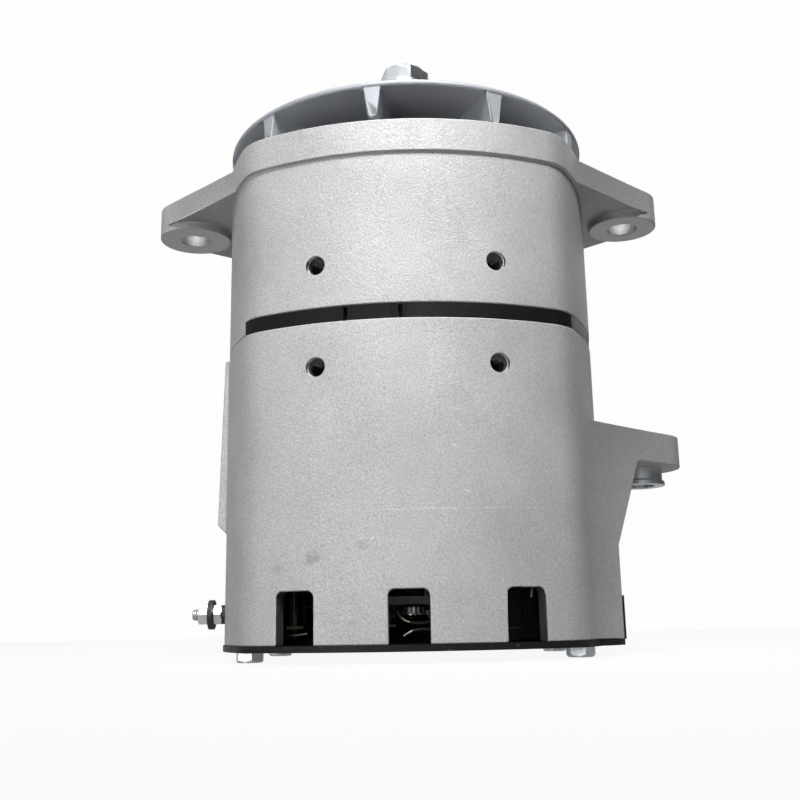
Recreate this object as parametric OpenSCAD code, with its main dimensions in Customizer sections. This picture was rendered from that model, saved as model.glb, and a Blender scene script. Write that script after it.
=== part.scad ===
// Heavy-duty truck alternator with front fan and hinge mount, shaft axis along Z.
// It stands on its rear cover bolts. -Y is the side seen from the front of the photo.

/* [Body section] */
// Half width of the housing across its flats
body_half = 81.6; // [78:0.2:85]
// Distance of each rounded corner's centre from the shaft axis, in X and in Y
corner_at = 48.8; // [46:0.2:51]
// Radius of the rounded corners of the housing
corner_r = 21; // [18:0.5:24]
// Wall thickness of the cast housings
wall = 5; // [4:0.5:7]

/* [Housing heights above the rear joint face] */
// Height of the rear housing
rear_h = 122.6; // [118:0.2:128]
// Height of the stator flange seen between the housings
band_h = 6; // [4:0.1:9]
// Height of the plain part of the front housing, below its collar
front_h = 63; // [58:0.5:68]
// Height of the collar round the front housing
collar_h = 14; // [11:0.1:18]
// How far the collar stands proud of the body
collar_out = 1.2; // [0.8:0.1:3]
// Underside height of the rear bearing wall
rear_wall_at = 58; // [54:0.5:62]
// Thickness of both bearing walls
bearing_wall = 8; // [6:0.5:10]

/* [Ears and lug] */
// Distance of the hinge bolt's axis from the shaft axis
hinge_x = 102; // [99:0.5:106]
// Distance of the adjusting ear's hole from the shaft axis
adjust_x = 101.4; // [98:0.2:105]
// Outer radius round the hinge hole in the front ear
hinge_end_r = 15.6; // [14:0.2:19]
// Outer radius round the rear lug's bore
lug_end_r = 18; // [15:0.5:21]
// Outer radius round the adjusting ear's hole
adjust_end_r = 16.6; // [14:0.2:19]
// Distance of the straight edges of the ears and the lug from the shaft axis
arm_at = 84.6; // [83:0.2:87]
// Radius of the bolt holes in both ears
ear_hole_r = 6.7; // [5.5:0.1:8]
// Distance between the front foot's face and the rear foot's face
foot_gap = 101.6; // [96:0.1:108]
// Thickness of the ears' plate
ear_t = 10.6; // [8:0.1:13]
// How far the round boss hangs below an ear
boss_drop = 3.4; // [2:0.1:5]
// Thickness of the rear hinge lug
lug_t = 13.6; // [11:0.2:18]
// Distance of the wing's outer face from the shaft axis, below the lug
wing_x = 83.6; // [82.4:0.2:88]
// Height at which the wing starts to slope out to the lug
wing_break_h = 37; // [30:0.5:44]
// Distance from the shaft axis at which the slope meets the lug's underside
wing_top_x = 96; // [92:0.5:98]

/* [Hinge bush] */
// Outer radius of the sliding bush in the lug
bush_r = 10; // [9:0.1:11]
// Radius of the bush's bolt hole
bush_hole_r = 6.5; // [5.5:0.1:7]
// How far the bush stands out below the lug
bush_out = 7.4; // [4:0.2:9]
// Radial clearance of the bush in its bore
bush_play = 0.05; // [0.02:0.01:0.1]

/* [Windows and radial holes] */
// Height of the air windows in the rear edge
window_h = 19.8; // [12:0.1:26]
// Width of the air windows
window_w = 15; // [10:0.5:18]
// Radius of the windows' upper corners
window_r = 2.4; // [1:0.2:5]
// Radius of the radial holes in both housings
radial_hole_r = 4; // [3:0.1:5]
// Distance of the radial holes from the joint with the stator flange
radial_hole_off = 17.7; // [14:0.1:20]

/* [Left pad] */
// Height of the foot of the tapered pad on the rear housing
pad_foot_h = 45; // [36:0.5:50]
// How far the pad's foot stands proud
pad_out = 2; // [1:0.1:5]
// Width of the tapered pad
pad_w = 44; // [36:1:56]

/* [Rear cover and bolts] */
// Thickness of the rear cover's sheet
cover_t = 1.2; // [1:0.1:2]
// Height of the cover's folded hem
hem_h = 2.4; // [1.8:0.1:3.5]
// Distance of the cover bolts from the shaft axis in X
cover_bolt_x = 65.4; // [63:0.2:67]
// Distance of the cover bolts from the shaft axis in Y
cover_bolt_y = 42.4; // [40:0.2:44]
// Width across flats of the cover bolts
cover_bolt_af = 10; // [8:0.5:12]
// Height of the cover bolts' heads with their flanges
cover_head_h = 5.4; // [4.6:0.2:7]
// Radius of the M6 screws
m6_r = 3; // [2.5:0.1:3.4]
// Distance of the long bolts from the shaft axis, along the corners
long_bolt_at = 81.5; // [80.5:0.1:83]

/* [Stator] */
// Outer radius of the stator core inside the housings
core_r = 74; // [72:0.5:75]
// Length of the stator core
core_h = 54; // [46:1:60]
// Inner radius of the stator core
core_bore_r = 50.5; // [47:0.5:54]
// Number of slots in the core
slots = 36; // [24:6:48]
// Width of a slot
slot_w = 4.6; // [3:0.1:5]
// Depth of a slot behind the tooth tips
slot_d = 12; // [8:0.5:14]
// Length of a winding head beyond the core
head_h = 15; // [10:0.5:17]

/* [Rotor] */
// Air gap between the claw poles and the core
air_gap = 0.5; // [0.3:0.1:1]
// Number of claws on each pole half
claws = 8; // [6:1:8]
// Length of the rotor over both pole halves
rotor_h = 60; // [54:1:64]
// Thickness of a pole half's disc
pole_t = 15; // [12:0.5:18]
// Outer radius of the field coil
coil_r = 40; // [34:0.5:41]
// Outer radius of the coil former's core
former_r = 22; // [19:0.5:26]

/* [Shaft] */
// Shaft radius inside the rotor
shaft_r = 14; // [12.7:0.1:16]
// Radius of the pulley seat
seat_r = 11.1; // [10:0.1:12.3]
// Free length of the pulley seat
seat_h = 37.8; // [32:0.2:42]
// Radius of the shaft's thread
thread_r = 7; // [6:0.5:8]
// Width across flats of the shaft nut
nut_af = 21; // [19:0.5:24]
// Height of the shaft nut
nut_h = 9; // [7:0.5:13]
// Thickness of the washer under the nut
washer_t = 2.5; // [1.5:0.1:4]

/* [Fan] */
// Outer radius of the fan
fan_r = 83; // [78:0.5:86]
// Thickness of the fan disc at its rim
fan_rim_t = 2.6; // [1.8:0.1:4]
// Length of the blades below the fan disc
blade_h = 13.2; // [10:0.2:17]
// Thickness of a blade where it leaves the disc
blade_root_t = 7.6; // [5:0.2:10]
// Thickness of a blade at its tip
blade_tip_t = 4.2; // [3:0.2:6]
// Number of fan blades
blades = 10; // [8:1:12]
// Turn of the first blade from -Y towards +X
blade_turn = -8.5; // [-18:0.5:18]
// Running gap between the blade tips and the collar
fan_gap = 1.5; // [0.8:0.1:3]

/* [Side terminal] */
// Height of the side terminal's axis
side_term_h = 12.6; // [11:0.2:16]
// Place of the side terminal along Y
side_term_y = -14; // [-22:1:-10]
// Radius of the side terminal's stud
side_stud_r = 2.5; // [2:0.1:3]
// How far the side stud stands out of the wall
side_stud_out = 13.4; // [12.8:0.2:18]

/* [Output terminal] */
// Height of the output stud's axis
out_term_h = 31; // [28:0.5:34]
// Radius of the output stud
out_stud_r = 4; // [3:0.1:4.5]
// How far the output stud stands out of the wall
out_stud_out = 24; // [22:1:28]

/* [Fits] */
// Gap left round pieces that are fitted with play
play = 0.3; // [0.2:0.05:0.4]
// Gap left where pieces are fitted close or screwed
close = 0.02; // [0.01:0.01:0.05]
// Radial clearance of each ball in its races
ball_play = 0.05; // [0.03:0.01:0.08]

/* [Hidden] */
$fn = 96;
eps = 0.01;

// Heights above the plane that the cover bolts stand on
z0 = cover_t + cover_head_h;
rear_top = z0 + rear_h;
front_z = rear_top + band_h;
ledge_z = front_z + front_h;
collar_top = ledge_z + collar_h;
rear_wall_z = z0 + rear_wall_at;
rear_wall_top = rear_wall_z + bearing_wall;
front_wall_top = ledge_z + 3;
front_wall_z = front_wall_top - bearing_wall;
foot_z = ledge_z - boss_drop;
lug_top = foot_z - foot_gap;
lug_z = lug_top - lug_t;
mid_z = rear_top + band_h / 2;

// Sides of the body are arcs that meet the corner arcs without a kink
side_r = (pow(corner_at, 2) + pow(body_half - corner_at, 2) - pow(corner_r, 2))
  / (2 * (body_half - corner_at - corner_r));
side_at = side_r - body_half;

// Bearings: bore radius, outer radius, width, ball radius and number of balls
front_brg = [12.5, 31, 17, 5, 9];
rear_brg = [8.5, 23.5, 14, 4, 8];
front_brg_z = front_wall_top - 1.5 - front_brg[2];
rear_brg_z = rear_wall_top + 2 - rear_brg[2];
hub_wall = 6;

core_z = mid_z - core_h / 2;
rotor_z = mid_z - rotor_h / 2;
rotor_top = rotor_z + rotor_h;
rotor_r = core_bore_r - air_gap;
inner_r = core_r - 2;

fan_z = collar_top + fan_gap + blade_h;
fan_top = fan_z + fan_rim_t;
hub_top = fan_top + 1;
seat_top = hub_top + seat_h;
nut_z = seat_top + washer_t;
nut_top = nut_z + nut_h;
shaft_top = nut_top + 1.5;
shaft_z = z0 + 10;
hub_r = 21;

ring_r = 14;
ring_h = 10;
ring_z = [z0 + 16, z0 + 30];

window_turns = [-30.8, -0.8, 29.6, 90, 149, 211];
hole_turns = [-155, -90, -25, 25, 90, 155];
groove_turns = [-162, -75, -16.7, -1.6, 72, 162];
flange_in = 0.5;
flange_groove = 2.5;
retainer_at = front_brg[1] + 3;
retainer_t = 2.5;

// Shaft and fan details
spacer_top = collar_top + 1;
key_w = 5;
key_d = 2.4;
nut_turn = 16.4;
blade_inner_r = 42;
claw_root_w = 19;
claw_tip_w = 8;

bush_lip_r = bush_r + 1;

// Rectifier: two heat sinks on posts under the bearing wall
sink_h = 30;
sink_t = 3;
sink_in = 27;
sink_out = 65;
sink_from = -200;
sink_to = 15;
positive_z = z0 + 15;
positive_out = 48;
positive_at = 37.5;
negative_at = 56;
post_turns = [-180, -90, 0];
post_at = 40;
diode_turns = [-160, -135, -112, -68, -45, -22];
diode_r = 6.35;
lead_turns = [-147.5, -101, -33.5];
lead_at = 56;
lead_r = 1.5;
strap_z = z0 + 6;
strap_t = 1.2;
block_out = 60;

// Brushes and regulator, side by side with the rectifier
regulator_turn = 100;
regulator_z = z0 + 43;
regulator_h = 10;
brush_w = 5;
brush_h = 8;
brush_l = 16;
side_wall_out = 0.5;

// Point at a radius and a turn, measured from -Y towards +X
function at(r, turn) = [r * sin(turn), -r * cos(turn)];

// Points where the outer tangent touches circle a and then circle b, on the right of a to b
function tangent(a, ra, b, rb) =
  let (
    d = b - a,
    lean = atan2(d[1], d[0]) - acos((ra - rb) / norm(d)),
    n = [cos(lean), sin(lean)]
  ) [a + ra * n, b + rb * n];

module ring(r, bore, h) {
  difference() {
    cylinder(r = r, h = h);
    translate([0, 0, -eps]) cylinder(r = bore, h = h + 2 * eps);
  }
}

module hexagon(af, h) {
  cylinder(r = af / sqrt(3), h = h, $fn = 6);
}

// Hexagon nut or head with its corners turned away at the top
module chamfered_hex(af, h) {
  corner = af / sqrt(3);
  intersection() {
    hexagon(af, h);
    rotate_extrude()
      polygon([
        [0, 0], [corner + 1, 0], [corner + 1, h - (corner + 1 - af / 2) * tan(30)],
        [af / 2 - 0.4, h], [0, h]
      ]);
  }
}

// Cross section of the body: four wide arcs and four corner arcs, grown by out
module body_outline(out = 0) {
  a = [corner_at, corner_at];
  touch = (side_r + out) * (a + [0, side_at]) / norm(a + [0, side_at]) - [0, side_at];
  for (turn = [0:90:270]) rotate(turn) {
    intersection() {
      translate([0, -side_at]) circle(r = side_r + out, $fn = 240);
      translate([-touch[0], 0]) square([2 * touch[0], body_half + out + 1]);
    }
    translate(a) circle(r = corner_r + out);
  }
}

// Arm with a round end at x. Its edges leave the body at its corners
module arm_outline(x, end_r) {
  t = tangent([0, 0], arm_at, [abs(x), 0], end_r);
  mirror([x < 0 ? 1 : 0, 0]) {
    translate([abs(x), 0]) circle(r = end_r);
    polygon([[0, 0], t[0], t[1], [t[1][0], -t[1][1]], [t[0][0], -t[0][1]]]);
  }
}

module each_corner(x, y) {
  for (sx = [-1, 1], sy = [-1, 1]) translate([sx * x, sy * y]) children();
}

// Round part of a ring between two turns, measured from -Y towards +X
module sector(r_in, r_out, from, to, h) {
  rotate([0, 0, from - 90])
    rotate_extrude(angle = to - from) translate([r_in, 0]) square([r_out - r_in, h]);
}

module at_turn(turn) {
  rotate([0, 0, turn]) children();
}

// Radial drill along -Y at height z, from radius r_in outwards
module radial_drill(r, r_in, r_out, z) {
  translate([0, -r_in, z]) rotate([90, 0, 0]) cylinder(r = r, h = r_out - r_in, $fn = 48);
}

// Air window through the wall at height z, cut from inside the wall outwards
module window(z) {
  translate([0, -body_half + 26, z]) rotate([90, 0, 0])
    linear_extrude(60) {
      translate([-window_w / 2, -1]) square([window_w, window_h + 1 - window_r]);
      translate([-window_w / 2 + window_r, 0]) square([window_w - 2 * window_r, window_h]);
      for (side = [-1, 1])
        translate([side * (window_w / 2 - window_r), window_h - window_r])
          circle(r = window_r, $fn = 32);
    }
}

module rear_housing() {
  color("silver") difference() {
    union() {
      translate([0, 0, z0]) linear_extrude(rear_h) body_outline();
      wing();
      left_pad();
    }
    difference() {
      translate([0, 0, z0 - eps]) linear_extrude(rear_wall_at + eps) body_outline(-wall);
      each_corner(cover_bolt_x, cover_bolt_y)
        translate([0, 0, z0]) cylinder(r = 7.5, h = 22);
      translate([0, 0, rear_brg_z - 2]) cylinder(r = rear_brg[1] + hub_wall, h = 40);
      rectifier_posts();
      regulator_posts();
    }
    translate([0, 0, rear_wall_top]) cylinder(r = inner_r, h = rear_h);
    translate([0, 0, core_z - 0.3]) cylinder(r = core_r + close, h = rear_h);
    rear_bearing_seat();
    for (turn = [22.5:45:337.5])
      translate([0, 0, rear_wall_z - eps])
        sector(rear_brg[1] + hub_wall + 2, inner_r - 8, turn - 14, turn + 14, bearing_wall + 1);
    for (turn = window_turns) at_turn(turn) window(z0);
    for (turn = hole_turns)
      at_turn(turn) radial_drill(radial_hole_r, core_r - 8, 110, rear_top - radial_hole_off);
    each_corner(cover_bolt_x, cover_bolt_y)
      translate([0, 0, z0 - 1]) cylinder(r = m6_r + close, h = 19);
    for (turn = [45:90:315]) at_turn(turn)
      translate([0, -long_bolt_at, rear_top - 24]) cylinder(r = m6_r + close, h = 30);
    translate([hinge_x, 0, lug_z - 1]) cylinder(r = bush_r + bush_play, h = lug_t + 20);
    translate([hinge_x, 0, lug_z - 30]) cylinder(r = bush_lip_r + 2 * play, h = 30);
    translate([-body_half - 20, side_term_y, z0 + side_term_h])
      rotate([0, 90, 0]) cylinder(r = side_stud_r + 1.5 + play, h = 40);
    at_turn(180) radial_drill(out_stud_r + 3 + play, 50, 110, z0 + out_term_h);
    for (turn = post_turns) at_turn(turn)
      translate([0, -post_at, z0 + sink_h - 1]) cylinder(r = 2 + close, h = 14);
    at_turn(regulator_turn) for (side = [-1, 1])
      translate([side * 23, -57, regulator_z]) cylinder(r = 2 + close, h = regulator_h + 10);
  }
}

// Wing that carries the rear hinge lug, flush with the corners of the body
module wing() {
  difference() {
    translate([0, 0, z0]) linear_extrude(lug_top - z0) arm_outline(hinge_x, lug_end_r);
    translate([0, 60, 0]) rotate([90, 0, 0]) linear_extrude(120)
      polygon([
        [wing_x, z0 - 1], [wing_x, z0 + wing_break_h], [wing_top_x, lug_z],
        [hinge_x + 40, lug_z], [hinge_x + 40, z0 - 1]
      ]);
  }
}

// Tapered pad on the side away from the hinge
module left_pad() {
  translate([0, pad_w / 2, 0]) rotate([90, 0, 0]) linear_extrude(pad_w)
    polygon([
      [-body_half + 12, z0 + pad_foot_h], [-body_half + 3, z0 + pad_foot_h],
      [-body_half - pad_out, z0 + pad_foot_h + 5], [-body_half, rear_top],
      [-body_half + 12, rear_top]
    ]);
}

module rear_bearing_seat() {
  translate([0, 0, rear_brg_z]) cylinder(r = rear_brg[1] + close, h = 60);
  translate([0, 0, rear_brg_z - 10]) cylinder(r = rear_brg[1] - 3, h = 60);
}

module front_housing() {
  color("silver") difference() {
    union() {
      translate([0, 0, front_z]) linear_extrude(front_h + eps) body_outline();
      translate([0, 0, ledge_z]) linear_extrude(collar_h) body_outline(collar_out);
      for (arm = [[hinge_x, hinge_end_r], [-adjust_x, adjust_end_r]]) {
        translate([0, 0, ledge_z]) linear_extrude(ear_t) arm_outline(arm[0], arm[1]);
        translate([arm[0], 0, foot_z]) cylinder(r = arm[1], h = boss_drop + eps);
      }
      corner_pads();
    }
    difference() {
      translate([0, 0, rear_top - 1]) cylinder(r = inner_r, h = front_wall_z - rear_top + 1);
      translate([0, 0, front_brg_z]) cylinder(r = front_brg[1] + hub_wall, h = 60);
    }
    translate([0, 0, rear_top - 1]) cylinder(r = core_r + close, h = core_z + core_h + 1.3 - rear_top);
    translate([0, 0, front_wall_top]) cylinder(r = inner_r + 2, h = 60);
    front_bearing_seat();
    for (turn = [0:45:315])
      translate([0, 0, front_wall_z - eps])
        sector(front_brg[1] + hub_wall + 3, inner_r - 3, turn - 16, turn + 16, bearing_wall + 1);
    for (turn = hole_turns)
      at_turn(turn) radial_drill(radial_hole_r, core_r - 8, 110, front_z + radial_hole_off);
    for (turn = [45:90:315]) at_turn(turn) translate([0, -long_bolt_at, 0]) {
      cylinder(r = m6_r + play, h = 400);
      translate([0, 0, collar_top - 9]) cylinder(r = 5.5, h = 30);
    }
    translate([hinge_x, 0, foot_z - 1]) cylinder(r = ear_hole_r, h = 40);
    translate([-adjust_x, 0, foot_z - 1]) cylinder(r = ear_hole_r, h = 40);
    for (turn = [0:90:270]) at_turn(turn)
      translate([0, -retainer_at, front_brg_z - 1]) cylinder(r = 2 + close, h = 9);
  }
}

// Pads of the front housing that close the stator band at its left corners
module corner_pads() {
  translate([0, 0, rear_top + close]) intersection() {
    linear_extrude(band_h) body_outline();
    corner_blocks(0);
  }
}

// Blocks over the left corners of the stator band, grown by out
module corner_blocks(out) {
  for (side = [-1, 1])
    translate([-body_half - 20, side * 42 - 22 - out, -1])
      cube([36 + out, 44 + 2 * out, collar_top]);
}

module front_bearing_seat() {
  translate([0, 0, front_brg_z - 10]) cylinder(r = front_brg[1] + close, h = front_brg[2] + 10);
  translate([0, 0, front_brg_z]) cylinder(r = front_brg[1] - 6, h = 60);
}

// Posts under the bearing wall that carry the rectifier
module rectifier_posts() {
  for (turn = post_turns) at_turn(turn)
    translate([0, -post_at, z0 + sink_h]) cylinder(r = 4.5, h = 50);
}

// Posts under the bearing wall that carry the regulator
module regulator_posts() {
  at_turn(regulator_turn) for (side = [-1, 1])
    translate([side * 23, -57, regulator_z + regulator_h]) cylinder(r = 4.5, h = 30);
}

// Plain plate with a folded hem, closing the rear of the housing
module rear_cover() {
  color("black") difference() {
    union() {
      translate([0, 0, z0 - cover_t]) linear_extrude(cover_t) body_outline(0.6);
      translate([0, 0, z0 - hem_h]) linear_extrude(hem_h) body_outline(0.6);
    }
    translate([0, 0, z0 - hem_h - 1]) linear_extrude(hem_h - cover_t + 1) body_outline(-0.8);
    for (turn = [0:30:330]) translate([0, 0, z0 - hem_h - 1])
      sector(26, 44, turn - 7, turn + 7, hem_h + 2);
    each_corner(cover_bolt_x, cover_bolt_y)
      translate([0, 0, z0 - hem_h - 1]) cylinder(r = m6_r + play, h = 6);
  }
}

module cover_bolts() {
  color("gainsboro") each_corner(cover_bolt_x, cover_bolt_y)
    translate([0, 0, z0 - cover_t]) mirror([0, 0, 1]) {
      cylinder(r = cover_bolt_af * 0.62, h = 1.4);
      chamfered_hex(cover_bolt_af, cover_head_h);
      translate([0, 0, -cover_t - 15]) cylinder(r = m6_r, h = cover_t + 16);
    }
}

// Socket-head bolts that clamp the front housing, the stator flange and the rear housing
module long_bolts() {
  color("dimgray") for (turn = [45:90:315]) at_turn(turn) translate([0, -long_bolt_at, 0])
    difference() {
      union() {
        translate([0, 0, rear_top - 20]) cylinder(r = m6_r, h = collar_top - 9 - rear_top + 21);
        translate([0, 0, collar_top - 9]) cylinder(r = 5, h = 6);
      }
      translate([0, 0, collar_top - 6]) hexagon(5, 4);
    }
}

// Laminated ring with a flange that shows between the two housings
module stator_core() {
  color("dimgray") difference() {
    union() {
      translate([0, 0, core_z]) cylinder(r = core_r, h = core_h);
      difference() {
        translate([0, 0, rear_top + close]) linear_extrude(band_h - 2 * close)
          body_outline(-flange_in);
        corner_blocks(close);
      }
    }
    translate([0, 0, core_z - 1]) cylinder(r = core_bore_r, h = core_h + 2);
    for (i = [0:slots - 1]) at_turn(i * 360 / slots)
      translate([-slot_w / 2, -core_bore_r - 1.5 - slot_d, core_z - 1])
        cube([slot_w, slot_d, core_h + 2]);
    for (i = [0:slots - 1]) at_turn(i * 360 / slots)
      translate([-1.2, -core_bore_r - 3, core_z - 1]) cube([2.4, 4, core_h + 2]);
    for (turn = [45:90:315]) at_turn(turn)
      translate([0, -long_bolt_at, rear_top - 1]) cylinder(r = m6_r + play, h = band_h + 2);
    for (turn = groove_turns) at_turn(turn)
      translate([-0.9, -body_half - 12, rear_top - 1]) cube([1.8, 12 + flange_groove, band_h + 2]);
  }
}

// Copper bars in the slots, joined by a winding head at each end of the core
module stator_winding() {
  color("chocolate") {
    for (i = [0:slots - 1]) at_turn(i * 360 / slots)
      translate([-slot_w / 2 + play, -core_bore_r - slot_d - 1, core_z - 2])
        cube([slot_w - 2 * play, slot_d - 2, core_h + 4]);
    winding_head(core_z - 1);
    mirror([0, 0, 1]) winding_head(-core_z - core_h - 1);
  }
}

// One winding head, hanging down from height z as a rounded ring with coil grooves
module winding_head(z) {
  r_in = core_bore_r + 2.5;
  r_out = core_bore_r + slot_d + 2.5;
  rotate_extrude() {
    translate([r_in, z - head_h + 5]) square([r_out - r_in, head_h - 5]);
    translate([r_in + 4, z - head_h + 1]) square([r_out - r_in - 8, 6]);
    for (r = [r_in + 4, r_out - 4]) translate([r, z - head_h + 5]) circle(r = 4, $fn = 32);
  }
  for (i = [0:2:slots - 1]) at_turn(i * 360 / slots + 5)
    translate([-1.6, -r_out - 0.9, z - head_h + 5]) cube([3.2, 8, head_h - 6]);
}

// Three leads from the rear winding head, through the bearing wall, down to the diodes
module phase_leads() {
  color("darkorange") for (turn = lead_turns) at_turn(turn)
    translate([0, -lead_at, strap_z + strap_t])
      cylinder(r = lead_r, h = core_z - head_h - 0.5 - strap_z - strap_t);
}

// Bearing parts. A bearing is [bore radius, outer radius, width, ball radius, balls]
function pitch_r(b) = (b[0] + b[1]) / 2;

module race(b, r_in, r_out) {
  rotate_extrude() difference() {
    translate([r_in, 0]) square([r_out - r_in, b[2]]);
    translate([pitch_r(b), b[2] / 2]) circle(r = b[3] + ball_play, $fn = 48);
  }
}

module outer_race(b) race(b, pitch_r(b) + b[3] * 0.55, b[1]);

module inner_race(b) race(b, b[0] + close, pitch_r(b) - b[3] * 0.55);

module ball_set(b) {
  for (i = [0:b[4] - 1]) at_turn(i * 360 / b[4])
    translate([0, -pitch_r(b), b[2] / 2]) sphere(r = b[3], $fn = 32);
}

module ball_cage(b) {
  pocket_r = b[3] + 0.15;
  h = 2 * pocket_r + 1.6;
  difference() {
    translate([0, 0, (b[2] - h) / 2])
      ring(pitch_r(b) + b[3] * 0.3, pitch_r(b) - b[3] * 0.3, h);
    for (i = [0:b[4] - 1]) at_turn(i * 360 / b[4])
      radial_drill(pocket_r, pitch_r(b) - b[3], pitch_r(b) + b[3], b[2] / 2);
  }
}

module front_bearing_outer() {
  color("lightgray") translate([0, 0, front_brg_z]) outer_race(front_brg);
}

module front_bearing_inner() {
  color("lightgray") translate([0, 0, front_brg_z]) inner_race(front_brg);
}

module front_bearing_balls() {
  color("white") translate([0, 0, front_brg_z]) ball_set(front_brg);
}

module front_bearing_cage() {
  color("goldenrod") translate([0, 0, front_brg_z]) ball_cage(front_brg);
}

module rear_bearing_outer() {
  color("lightgray") translate([0, 0, rear_brg_z]) outer_race(rear_brg);
}

module rear_bearing_inner() {
  color("lightgray") translate([0, 0, rear_brg_z]) inner_race(rear_brg);
}

module rear_bearing_balls() {
  color("white") translate([0, 0, rear_brg_z]) ball_set(rear_brg);
}

module rear_bearing_cage() {
  color("goldenrod") translate([0, 0, rear_brg_z]) ball_cage(rear_brg);
}

module bearing_retainer() {
  color("slategray") difference() {
    translate([0, 0, front_brg_z - retainer_t])
      ring(front_brg[1] + hub_wall, front_brg[1] - 5, retainer_t);
    for (turn = [0:90:270]) at_turn(turn)
      translate([0, -retainer_at, front_brg_z - 5]) cylinder(r = 2 + play, h = 8);
  }
}

module retainer_screws() {
  color("gainsboro") for (turn = [0:90:270]) at_turn(turn)
    translate([0, -retainer_at, front_brg_z - retainer_t - 2]) {
      cylinder(r = 2, h = retainer_t + 9);
      cylinder(r = 3.2, h = 2);
    }
}

module shaft() {
  color("gainsboro") difference() {
    rotate_extrude()
      polygon([
        [0, shaft_z], [6.5, shaft_z], [7.5, shaft_z + 1], [7.5, rear_brg_z], [rear_brg[0], rear_brg_z],
        [rear_brg[0], rear_brg_z + rear_brg[2]], [11, rear_brg_z + rear_brg[2]],
        [11, rotor_z], [shaft_r, rotor_z], [shaft_r, front_brg_z], [front_brg[0], front_brg_z],
        [front_brg[0], spacer_top], [seat_r, spacer_top], [seat_r, seat_top],
        [thread_r, seat_top], [thread_r, shaft_top - 1], [thread_r - 1, shaft_top], [0, shaft_top]
      ]);
    translate([-key_w / 2, -seat_r - 1, spacer_top + 2])
      cube([key_w, key_d + 1, seat_top - spacer_top - 8]);
  }
}

// Pole half with claws, standing on its disc at z = 0 with the claws pointing up
module claw_pole() {
  difference() {
    union() {
      cylinder(r = 32, h = pole_t);
      intersection() {
        rotate_extrude()
          polygon([
            [28, 0], [rotor_r - 2, 0], [rotor_r, 3], [rotor_r, rotor_h - 3],
            [rotor_r - 3, rotor_h - 2], [coil_r + 2, pole_t], [28, pole_t]
          ]);
        for (i = [0:claws - 1]) rotate((i + 0.5) * 360 / claws)
          rotate([90, 0, 90]) linear_extrude(rotor_r + 5)
            polygon([
              [-claw_root_w / 2, -1], [claw_root_w / 2, -1], [claw_root_w / 2, pole_t],
              [claw_tip_w / 2, rotor_h], [-claw_tip_w / 2, rotor_h], [-claw_root_w / 2, pole_t]
            ]);
      }
    }
    translate([0, 0, -1]) cylinder(r = shaft_r + close, h = pole_t + 2);
  }
}

module rear_claw_pole() {
  color("slategray") translate([0, 0, rotor_z]) claw_pole();
}

module front_claw_pole() {
  color("slategray") translate([0, 0, rotor_top]) rotate(180 / claws) mirror([0, 0, 1])
    claw_pole();
}

module coil_former() {
  h = rotor_h - 2 * pole_t;
  color("ivory") translate([0, 0, rotor_z + pole_t]) {
    ring(former_r, shaft_r + close, h);
    for (z = [0, h - 2]) translate([0, 0, z]) ring(coil_r, shaft_r + close, 2);
  }
}

module field_coil() {
  h = rotor_h - 2 * pole_t;
  color("chocolate") translate([0, 0, rotor_z + pole_t + 2 + close])
    ring(coil_r - 0.5, former_r + close, h - 4 - 2 * close);
}

module slip_ring_sleeve() {
  color("saddlebrown") translate([0, 0, ring_z[0] - 3])
    ring(11, 7.5 + close, ring_z[1] - ring_z[0] + ring_h + 6);
}

module slip_rings() {
  color("peru") for (z = ring_z) translate([0, 0, z]) ring(ring_r, 11 + close, ring_h);
}

module fan_spacer() {
  color("silver") translate([0, 0, front_brg_z + front_brg[2]])
    ring(18, front_brg[0] + close, spacer_top - front_brg_z - front_brg[2]);
}

// Cast fan: a disc with drafted blades under it and a keyed hub
module fan() {
  color("silver") difference() {
    union() {
      rotate_extrude()
        polygon([
          [0, spacer_top], [hub_r - 3, spacer_top], [hub_r, spacer_top + 2], [hub_r + 1, fan_z - 6],
          [hub_r + 8, fan_z - 2], [fan_r - 0.6, fan_z], [fan_r, fan_z + 0.6], [fan_r, fan_top - 0.6],
          [fan_r - 0.6, fan_top], [hub_r + 6, fan_top - 0.2], [hub_r, hub_top], [0, hub_top]
        ]);
      intersection() {
        cylinder(r = fan_r - 0.4, h = fan_top);
        for (i = [0:blades - 1]) at_turn(blade_turn + i * 360 / blades) fan_blade();
      }
    }
    translate([0, 0, spacer_top - 1]) cylinder(r = seat_r + close, h = 100);
    translate([-key_w / 2 - close, -seat_r - key_d, spacer_top - 1])
      cube([key_w + 2 * close, key_d + 4, 100]);
  }
}

module fan_blade() {
  tip = -blade_h;
  translate([0, -blade_inner_r, fan_z]) rotate([90, 0, 0])
    linear_extrude(fan_r - blade_inner_r + 2)
      polygon([
        [-blade_root_t / 2, 1], [-blade_tip_t / 2, tip + 1.2], [-blade_tip_t / 2 + 1.2, tip],
        [blade_tip_t / 2 - 1.2, tip], [blade_tip_t / 2, tip + 1.2], [blade_root_t / 2, 1]
      ]);
}

module shaft_key() {
  color("slategray")
    translate([-key_w / 2 + close, -seat_r - key_d + play, spacer_top + 2 + close])
      cube([key_w - 2 * close, 2 * key_d - play - close, hub_top - spacer_top - 3]);
}

module shaft_washer() {
  color("gainsboro") translate([0, 0, seat_top]) ring(13.5, thread_r + play, washer_t);
}

module shaft_nut() {
  color("gainsboro") translate([0, 0, nut_z]) rotate([0, 0, nut_turn]) difference() {
    chamfered_hex(nut_af, nut_h);
    translate([0, 0, -1]) cylinder(r = thread_r + close, h = nut_h + 2);
  }
}

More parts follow.
